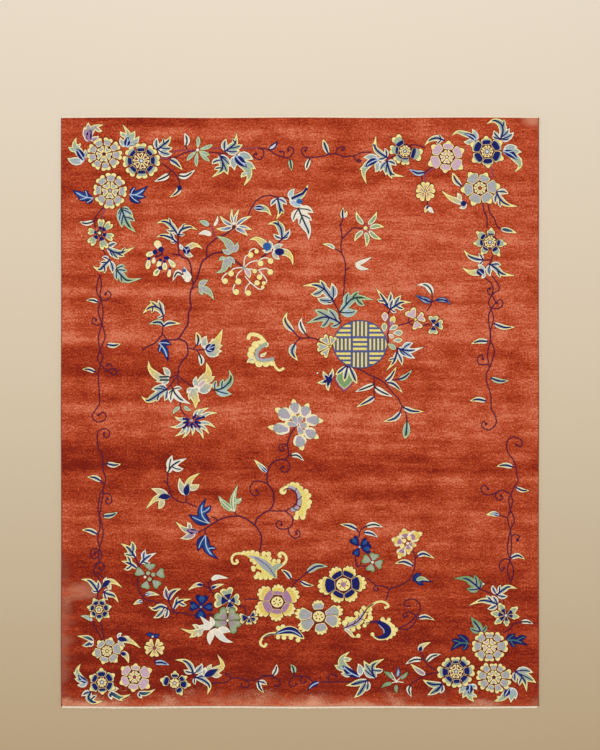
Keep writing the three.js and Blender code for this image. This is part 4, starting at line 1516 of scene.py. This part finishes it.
# Painted shade: ground colour at a motif's edge in the carved line is multiplied by this
CARVED_PAINTED_SHADE = 0.3
colours = []
for corners, top in zip(kept, tops):
    look = patches[top] if top is not None else None
    for corner in corners:
        if look is None or look["layer"] == CARVED:
            painted_shade = CARVED_PAINTED_SHADE if corner in carved and look is not None else 1.0
            colours.append((painted_shade, painted_shade, painted_shade, 0.0))
            continue
        foot, tip = DYED[look["yarn"]], DYED[look["tip"]]
        share = 0.0
        if look["axis"]:
            (ax, ay), (bx, by) = look["axis"]
            long = (bx - ax) ** 2 + (by - ay) ** 2
            x, y = spots[corner]
            share = ((x - ax) * (bx - ax) + (y - ay) * (by - ay)) / max(long, 1e-6)
            share = max(0.0, min(1.0, share))
        colours.append(tuple(f + (t - f) * share for f, t in zip(foot, tip)) + (1.0,))
print(len(carved), "points lie in the carved lines")

# %% [markdown]
# ## The closed cloth
#
# The triangulation is only the upper face. A rug has a back as well, so a coarse triangulation of the
# same rim closes it below and a row of walls joins the two. Extruding the upper face would give the back
# as many triangles as the design has, which no one would see.

# %% Points of the upper face and of the back
BACK_HEIGHT = 0.15
BACK_GRID, CORNER_GRID = 280, 26
used = sorted({c for corners in kept for c in corners})
renumber = {old: new for new, old in enumerate(used)}
verts = []
for spot in used:
    x, y = spots[spot]
    verts.append((x, y, pile_height(x, y) - (CARVED_DEPTH if spot in carved else 0.0)))
back_points = [Vector(p) for p in loops[0]]
for column in range(-4, 5):
    for row in range(-5, 6):
        back_points.append(Vector((column * BACK_GRID, row * BACK_GRID)))
for column in range(4):
    for row in range(4):
        x = RUG_WIDTH / 2 - 22 - CORNER_GRID * column
        y = RUG_LENGTH / 2 - CORNER_GRID - CORNER_GRID * row
        back_points.append(Vector((x, y)))
outline = list(range(len(loops[0])))
back_spots, _, back_faces, back_from, _, _ = delaunay_2d_cdt(back_points, [], [outline], 1, 0.02)
back_of = {source: i for i, sources in enumerate(back_from) for source in sources}
first_back = len(verts)
verts += [(s[0], s[1], BACK_HEIGHT + lift(s[0], s[1])) for s in back_spots]
print(first_back, "points above,", len(back_spots), "on the back")

# %% Join the two with walls
cloth_faces = [[renumber[c] for c in corners] for corners in kept]
cloth_faces += [[first_back + c for c in reversed(corners)] for corners in back_faces]
first_wall = len(cloth_faces)
for k in range(len(rim)):
    after = (k + 1) % len(rim)
    low, low_after = first_back + back_of[k], first_back + back_of[after]
    cloth_faces.append([low, low_after, renumber[rim[after]], renumber[rim[k]]])
mesh = bpy.data.meshes.new("wool_pile")
mesh.from_pydata([(x / 1000, y / 1000, z / 1000) for x, y, z in verts], [], cloth_faces)
pile = bpy.data.objects.new("wool_pile", mesh)
bpy.context.scene.collection.objects.link(pile)
plain = [(1.0, 1.0, 1.0, 0.0)] * (len(mesh.loops) - len(colours))
yarn = mesh.color_attributes.new("yarn", "FLOAT_COLOR", "CORNER")
yarn.data.foreach_set("color", [v for c in colours + plain for v in c])
mesh.polygons.foreach_set("use_smooth", [True] * len(mesh.polygons))
check = bmesh.new()
check.from_mesh(mesh)
open_edges = sum(1 for e in check.edges if len(e.link_faces) != 2)
check.free()
print("cloth:", len(mesh.polygons), "faces,", open_edges, "open edges")

# %% [markdown]
# ## A flat map of the cloth
#
# When the colours are baked to a picture, each face needs its own place in it. A rug lies flat already,
# so the upper face is laid out as it is. The back and the walls have one colour and get a small corner.

# %% Lay the cloth out for its texture
UV_SCALE, BACK_SCALE = 0.99 / 3.025, 0.07  # share of the picture for one metre
UV_MARGIN = 0.005
HALF_WIDE, HALF_LONG = RUG_WIDTH / 2000, RUG_LENGTH / 2000  # metres
uv = mesh.uv_layers.new(name="OFBake")
flat = []
for number, face in enumerate(mesh.polygons):
    for corner, v in enumerate(face.vertices):
        x, y, _ = mesh.vertices[v].co
        if number < len(kept):
            flat += [UV_MARGIN + (x + HALF_WIDE) * UV_SCALE, UV_MARGIN + (y + HALF_LONG) * UV_SCALE]
        elif number < first_wall:
            flat += [0.82 + (x + HALF_WIDE) * BACK_SCALE, UV_MARGIN + (y + HALF_LONG) * BACK_SCALE]
        else:
            step = (number - first_wall + (0.9 if corner in (1, 2) else 0.0)) / len(rim)
            flat += [0.83 if corner < 2 else 0.98, 0.25 + 0.72 * step]
uv.data.foreach_set("uv", flat)
print("texture map: top", round(2.44 * UV_SCALE, 2), "by", round(3.025 * UV_SCALE, 2))

# %% [markdown]
# ## Wool
#
# Hand-dyed wool never takes the dye evenly, so the ground lies in bands of lighter and darker red that
# run along the weft. The bands are a ramp over the rug's length, bent by a slow noise, with streaks
# stretched along the weft on top. The knots themselves are finer than the picture shows, so their
# grain is drawn coarser than it is, at about 8 mm.

# %% Nodes, ramps and dull surfaces
def add_node(tree, kind, links=None, inputs=None, **settings):
    made = tree.nodes.new(kind)
    for name, value in settings.items():
        setattr(made, name, value)
    for socket, value in (inputs or {}).items():
        made.inputs[socket].default_value = value
    for socket, source in (links or {}).items():
        tree.links.new(source, made.inputs[socket])
    return made


def new_material(name, roughness):
    # Wool, cotton and matt paint scatter light and have hardly any shine.
    made = bpy.data.materials.new(name)
    made.use_nodes = True
    shader = made.node_tree.nodes["Principled BSDF"]
    shader.inputs["Roughness"].default_value = roughness
    shader.inputs["Specular IOR Level"].default_value = 0.12
    return made, made.node_tree, shader


def fill_ramp(ramp, stops):
    ramp.elements[0].position, ramp.elements[1].position = stops[0][0], stops[-1][0]
    for position, _ in stops[1:-1]:
        ramp.elements.new(position)
    for element, (_, colour) in zip(ramp.elements, stops):
        element.color = (*colour, 1.0)


wool, tree, shader = new_material("rust_wool_pile", 0.95)
shader.inputs["Sheen Weight"].default_value = 0.15
shader.inputs["Sheen Roughness"].default_value = 0.5
print("wool: roughness", round(shader.inputs["Roughness"].default_value, 2), "with a little sheen")

# %% Bands of dye along the rug
# Photograph row and how light the dye is there, from 0, dark red, to 1, pale salmon.
DYE_BANDS = (
    (117, 0.45), (134, 0.63), (180, 0.55), (204, 0.7), (222, 0.63), (240, 0.76), (252, 0.67), (264, 0.8),
    (277, 0.62), (289, 0.8), (300, 0.61), (312, 0.78), (324, 0.7), (337, 0.82), (349, 0.63), (373, 0.53),
    (386, 0.64), (396, 0.58), (409, 0.73), (433, 0.68), (446, 0.54), (468, 0.36), (480, 0.62),
    (492, 0.43), (506, 0.61), (550, 0.57), (566, 0.4), (590, 0.38), (636, 0.3), (672, 0.17), (690, 0.19),
    (704, 0.38),
)
# The slow change of the dye along the rug, with the same columns
DYE_DRIFT = (
    (117, 0.54), (180, 0.6), (260, 0.71), (330, 0.72), (380, 0.63), (440, 0.6), (490, 0.52), (550, 0.53),
    (590, 0.38), (636, 0.3), (672, 0.2), (704, 0.25),
)
place = add_node(tree, "ShaderNodeTexCoord").outputs["Object"]
apart = add_node(tree, "ShaderNodeSeparateXYZ", {0: place})
slow = add_node(tree, "ShaderNodeTexNoise", {"Vector": place}, {"Scale": 1.4, "Detail": 2.0})
shift = add_node(tree, "ShaderNodeMath", {0: slow.outputs[0]}, {1: 0.12, 2: -0.06},
                 operation="MULTIPLY_ADD")
height = add_node(tree, "ShaderNodeMath", {0: apart.outputs["Y"], 1: shift.outputs[0]}, operation="ADD")
along = add_node(tree, "ShaderNodeMapRange", {"Value": height.outputs[0]},
                 {"From Min": -1.5, "From Max": 1.5})
ramps = []
for table in (DYE_BANDS, DYE_DRIFT):
    ramp = add_node(tree, "ShaderNodeValToRGB", {0: along.outputs[0]})
    stops = []
    for row, light in table:
        stops.append(((on_rug((0, row))[1] / 1000 + 1.5) / 3, (light,) * 3))
    fill_ramp(ramp.color_ramp, sorted(stops))
    ramps.append(ramp.outputs[0])
bands, drift = ramps
# The bands stand out more on the left of the rug than on the right
contrast = add_node(tree, "ShaderNodeMapRange", {"Value": apart.outputs["X"]},
                    {"From Min": -1.2, "From Max": 1.2, "To Min": 2.3, "To Max": 0.6})
beside = add_node(tree, "ShaderNodeMath", {0: bands, 1: drift}, operation="SUBTRACT")
banded = add_node(tree, "ShaderNodeMath", {0: beside.outputs[0], 1: contrast.outputs[0], 2: drift},
                  operation="MULTIPLY_ADD")
sided = add_node(tree, "ShaderNodeMapRange", {"Value": apart.outputs["X"]},
                 {"From Min": -1.2, "From Max": 0.0, "To Min": -0.15, "To Max": 0.0})
tone = add_node(tree, "ShaderNodeMath", {0: sided.outputs[0], 1: banded.outputs[0]},
                operation="ADD").outputs[0]
print("dye:", len(DYE_BANDS), "bands")

# %% Streaks, mottling and the grain of the knots
# Scale along the weft and along the warp per metre, detail, strength
STREAKS = ((1.2, 22, 3, 0.75), (4, 48, 3, 0.42), (7, 11, 4, 1.05), (34, 80, 2, 0.7), (120, 130, 2, 1.7))
# Lightness and the wool's colour there
DYE_TONES = ((0.0, "#7A1908"), (0.28, "#9A2E12"), (0.55, "#B44421"), (0.8, "#C95C3A"), (1.0, "#DA7C5C"))
noises = []
for across, up, detail, strength in STREAKS:
    stretch = add_node(tree, "ShaderNodeMapping", {"Vector": place}, {"Scale": (across, up, 1.0)})
    noise = add_node(tree, "ShaderNodeTexNoise", {"Vector": stretch.outputs[0]},
                     {"Scale": 1.0, "Detail": detail})
    centred = add_node(tree, "ShaderNodeMath", {0: noise.outputs[0]}, {1: 0.5}, operation="SUBTRACT")
    mixed = add_node(tree, "ShaderNodeMath", {0: centred.outputs[0], 2: tone}, {1: strength},
                     operation="MULTIPLY_ADD")
    tone = mixed.outputs[0]
    noises.append(noise.outputs[0])
blotch, grain = noises[2], noises[4]
dyed = add_node(tree, "ShaderNodeValToRGB", {0: tone})
fill_ramp(dyed.color_ramp, [(at, linear(code)) for at, code in DYE_TONES])
print("ground:", len(noises), "noises")

# %% Pale patches along the edges, and a painted highlight on the lifted corner
PALE_EDGE_AND_HIGHLIGHT_WOOL = (*linear("#E29A78"), 1.0)
# Place in the photograph, half width and half height in pixels, strength
# Pale salmon patches along the bottom and left edges; the row at (532, 121) is a painted highlight on the
# lifted top right corner.
PALE_EDGES_AND_CORNER_HIGHLIGHT = (
    ((255, 709), 130, 10, 0.9), ((110, 708), 60, 8, 0.7), ((400, 710), 120, 8, 0.8),
    ((72, 590), 20, 6, 0.5), ((62, 640), 8, 60, 0.3), ((532, 121), 7, 5, 0.6),
)
pale_and_lit = dyed.outputs[0]
for spot, wide, high, strength in PALE_EDGES_AND_CORNER_HIGHLIGHT:
    x, y = on_rug(spot)
    moved = add_node(tree, "ShaderNodeVectorMath", {0: place}, {1: (-x / 1000, -y / 1000, 0.0)},
                     operation="ADD")
    size = (1000 / (wide * MM_PER_PIXEL), 1000 / (high * MM_PER_PIXEL), 0.0)
    shrunk = add_node(tree, "ShaderNodeVectorMath", {0: moved.outputs[0]}, {1: size}, operation="MULTIPLY")
    far = add_node(tree, "ShaderNodeVectorMath", {0: shrunk.outputs[0]}, operation="LENGTH")
    rough = add_node(tree, "ShaderNodeMath", {0: blotch, 2: far.outputs["Value"]}, {1: 4.5},
                     operation="MULTIPLY_ADD")
    rough = add_node(tree, "ShaderNodeMath", {0: grain, 2: rough.outputs[0]}, {1: 3.0},
                     operation="MULTIPLY_ADD")
    paling_by = add_node(tree, "ShaderNodeMapRange", {"Value": rough.outputs[0]},
                       {"From Min": 3.6, "From Max": 5.2, "To Min": strength, "To Max": 0.0})
    pale = add_node(tree, "ShaderNodeMix", {0: paling_by.outputs[0], 6: pale_and_lit}, {7: PALE_EDGE_AND_HIGHLIGHT_WOOL},
                    data_type="RGBA")
    pale_and_lit = pale.outputs[2]
print(len(PALE_EDGES_AND_CORNER_HIGHLIGHT), "faded patches")

# %% Motifs over the ground, and the nap
knots = add_node(tree, "ShaderNodeAttribute", attribute_name="yarn")
# On the ground the attribute's colour multiplies the dye: painted shade in the carved lines, white
# elsewhere.
ground = add_node(tree, "ShaderNodeMix", {6: pale_and_lit, 7: knots.outputs["Color"]}, {0: 1.0}, data_type="RGBA",
                  blend_type="MULTIPLY")
worn = add_node(tree, "ShaderNodeMapRange", {"Value": grain},
                {"From Min": 0.3, "From Max": 0.7, "To Min": 0.78, "To Max": 1.18})
motif = add_node(tree, "ShaderNodeVectorMath", {0: knots.outputs["Color"], "Scale": worn.outputs[0]},
                 operation="SCALE")
whole = add_node(tree, "ShaderNodeMix",
                 {0: knots.outputs["Alpha"], 6: ground.outputs[2], 7: motif.outputs[0]}, data_type="RGBA")
tree.links.new(whole.outputs[2], shader.inputs["Base Color"])
nap = add_node(tree, "ShaderNodeBump", {"Height": grain}, {"Strength": 0.5, "Distance": 0.0015})
tree.links.new(nap.outputs[0], shader.inputs["Normal"])
mesh.materials.append(wool)
print("wool:", len(tree.nodes), "nodes")

# %% [markdown]
# ## Side cords
#
# The weaver wraps the outermost warps of each side with wool, which makes a cord with a ridge for each
# turn of yarn. A smooth tube with a bump would look flat at the rug's edge, so the ridges are modelled:
# rings that are wide and narrow in turn, each a little slanted as the wrapping is.

# %% Overcast side cords
TURN = 5.2  # mm of edge for one turn of the wrapping yarn, coarser than a real one
RIDGE, WAIST = 2.75, 2.35  # radii of the cord on a turn and between two turns
SIDES = 8
cord_verts, cord_faces = [], []
for side in (-1, 1):
    first = len(cord_verts)
    rings = 2 * round((RUG_LENGTH - 24) / TURN)
    for k in range(rings + 1):
        y = -(RUG_LENGTH / 2 - 13) + (RUG_LENGTH - 23) * k / rings
        radius = RIDGE if k % 2 else WAIST
        x = side * (RUG_WIDTH / 2 - stray(y, SIDE_WAVE, SIDE_DRIFT) - RIDGE)
        for a in range(SIDES):
            turn = 2 * math.pi * a / SIDES
            cord_verts.append(((x + radius * math.cos(turn)) / 1000, (y + 0.9 * math.cos(turn)) / 1000,
                               (2.8 + lift(x, y) + radius * math.sin(turn)) / 1000))
    for k in range(rings):
        for a in range(SIDES):
            b = (a + 1) % SIDES
            low, high = first + SIDES * k, first + SIDES * (k + 1)
            cord_faces.append([low + a, low + b, high + b, high + a][::-1])
    cord_faces.append([first + a for a in range(SIDES)])
    cord_faces.append([first + SIDES * rings + a for a in range(SIDES)][::-1])
cord_mesh = bpy.data.meshes.new("side_cords")
cord_mesh.from_pydata(cord_verts, [], cord_faces)
cord_mesh.polygons.foreach_set("use_smooth", [True] * len(cord_mesh.polygons))
cords = bpy.data.objects.new("side_cords", cord_mesh)
bpy.context.scene.collection.objects.link(cords)
cord_wool, tree, shader = new_material("rust_cord_wool_painted_shade", 0.9)
# The cord's rust wool, painted darker brown as shade along the side edge.
shader.inputs["Base Color"].default_value = (*linear("#8A3A20"), 1.0)
cord_mesh.materials.append(cord_wool)
print("side cords:", len(cord_faces), "faces, a turn every", TURN, "mm")

# %% [markdown]
# ## End webs
#
# At both ends the last wefts and the cut warps stay bare, as a narrow cream web whose outer edge is never
# quite straight. A flat strip would show no weave, so each web is a closed strip of columns, one for a
# warp, whose points stand high and low in turn as plain weave does.

# %% Bare end webs
WARP_GAP = 2.3  # mm between the columns of the web, a little coarser than real warps
WEB_INSET = 7
web_verts, web_faces = [], []
for sign, pile_end, web in ((1, PILE_UP, TOP_WEB), (-1, PILE_DOWN, BOTTOM_WEB)):
    first = len(web_verts)
    columns = round((RUG_WIDTH - 2 * WEB_INSET) / WARP_GAP)
    rows = 5
    for k in range(columns + 1):
        x = -(RUG_WIDTH / 2 - WEB_INSET) + (RUG_WIDTH - 2 * WEB_INSET) * k / columns
        inner = end_at(x, pile_end) - 1.0
        frayed = 0.9 * math.sin(x / 41) * math.sin(x / 17.3) + 0.7 * math.sin(x / 5.1) - 0.6
        outer = end_at(x, pile_end) + web - 0.6 + frayed
        up = lift(x, sign * outer)
        ring = [(outer, 0.2)]
        for r in range(rows + 1):
            y = outer + (inner - outer) * r / rows
            ring.append((y, 2.0 + 0.4 * ((k + r) % 2)))
        ring.append((inner, 0.2))
        web_verts += [(x / 1000, sign * y / 1000, (z + up) / 1000) for y, z in ring]
    size = rows + 3
    for k in range(columns):
        for r in range(size):
            s = (r + 1) % size
            low, high = first + size * k, first + size * (k + 1)
            quad = [low + r, low + s, high + s, high + r]
            web_faces.append(quad if sign > 0 else quad[::-1])
    caps = [first + r for r in range(size)], [first + size * columns + r for r in range(size)]
    web_faces.append(caps[0][::-1] if sign > 0 else caps[0])
    web_faces.append(caps[1] if sign > 0 else caps[1][::-1])
web_mesh = bpy.data.meshes.new("end_webs")
web_mesh.from_pydata(web_verts, [], web_faces)
web_mesh.polygons.foreach_set("use_smooth", [True] * len(web_mesh.polygons))
webs = bpy.data.objects.new("end_webs", web_mesh)
bpy.context.scene.collection.objects.link(webs)
cotton, tree, shader = new_material("cream_cotton_warp", 0.9)
shader.inputs["Base Color"].default_value = (*linear("#F6E8CF"), 1.0)
web_mesh.materials.append(cotton)
print("end webs:", len(web_faces), "faces, a warp every", WARP_GAP, "mm")

# %% [markdown]
# ## Studio
#
# The photograph looks straight down on the rug on a plain warm floor that darkens towards the bottom.
# A pale floor, an even sky and one large soft lamp from the top end give the same flat light.

# %% Floor
FLOOR_HALF, FLOOR_HEIGHT = 8, -0.0004  # metres
signs = ((-1, -1), (1, -1), (1, 1), (-1, 1))
floor_corners = [(x * FLOOR_HALF, y * FLOOR_HALF, FLOOR_HEIGHT) for x, y in signs]
floor_mesh = bpy.data.meshes.new("floor")
floor_mesh.from_pydata(floor_corners, [], [(0, 1, 2, 3)])
floor = bpy.data.objects.new("floor", floor_mesh)
bpy.context.scene.collection.objects.link(floor)
paint, tree, shader = new_material("warm_plain_floor", 0.9)
place = add_node(tree, "ShaderNodeTexCoord").outputs["Object"]
apart = add_node(tree, "ShaderNodeSeparateXYZ", {0: place})
along = add_node(tree, "ShaderNodeMapRange", {"Value": apart.outputs["Y"]},
                 {"From Min": -1.72, "From Max": 2.1})
fade = add_node(tree, "ShaderNodeValToRGB", {0: along.outputs[0]})
fill_ramp(fade.color_ramp, [(0.0, linear("#BEA785")), (0.5, linear("#D9C8AE")), (1.0, linear("#E8DBC8"))])
tree.links.new(fade.outputs[0], shader.inputs["Base Color"])
floor_mesh.materials.append(paint)
floor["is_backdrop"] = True
print("floor", 2 * FLOOR_HALF, "m wide")

# %% Light
scene = bpy.context.scene
scene.view_settings.view_transform = "Standard"
world = bpy.data.worlds.new("even_sky")
world.use_nodes = True
world.node_tree.nodes["Background"].inputs["Color"].default_value = (1.0, 0.99, 0.97, 1.0)
world.node_tree.nodes["Background"].inputs["Strength"].default_value = 0.72
scene.world = world
lamp_data = bpy.data.lights.new("soft_lamp", "AREA")
lamp_data.shape = "RECTANGLE"
lamp_data.size, lamp_data.size_y = 4.0, 2.0
lamp_data.energy = 205
lamp = bpy.data.objects.new("soft_lamp", lamp_data)
lamp.location = (-0.4, 3.2, 7.9)
lamp.rotation_euler = (Vector((0, 0, 0)) - lamp.location).to_track_quat("-Z", "Y").to_euler()
scene.collection.objects.link(lamp)
print("lamp", lamp_data.size, "by", lamp_data.size_y, "m")

# %% Camera
camera_data = bpy.data.cameras.new("camera")
camera_data.lens = 100
camera_data.sensor_width = 36
camera = bpy.data.objects.new("camera", camera_data)
FRAME_HEIGHT = 750 * MM_PER_PIXEL / 1000
across, up = on_rug((300, 375))
camera.location = (across / 1000, up / 1000, PILE_TOP / 1000 + FRAME_HEIGHT / 2 * 100 / 18)
scene.collection.objects.link(camera)
scene.camera = camera
print("camera", round(camera.location.z, 2), "m above the floor, frame", round(FRAME_HEIGHT, 3), "m high")

# %% [markdown]
# ## Pieces
#
# The pile stands for the CAD slab, which is hidden, and everything lies on it without moving. The pile,
# the cords and the webs are joined to one body.

# %% Pieces and sizes
for piece, name in ((pile, "wool_pile"), (cords, "wool_pile"), (webs, "cotton_warp")):
    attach(piece, "root")
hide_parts("rug")
low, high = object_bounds()
print("scene box", [round(v, 4) for v in low], [round(v, 4) for v in high])
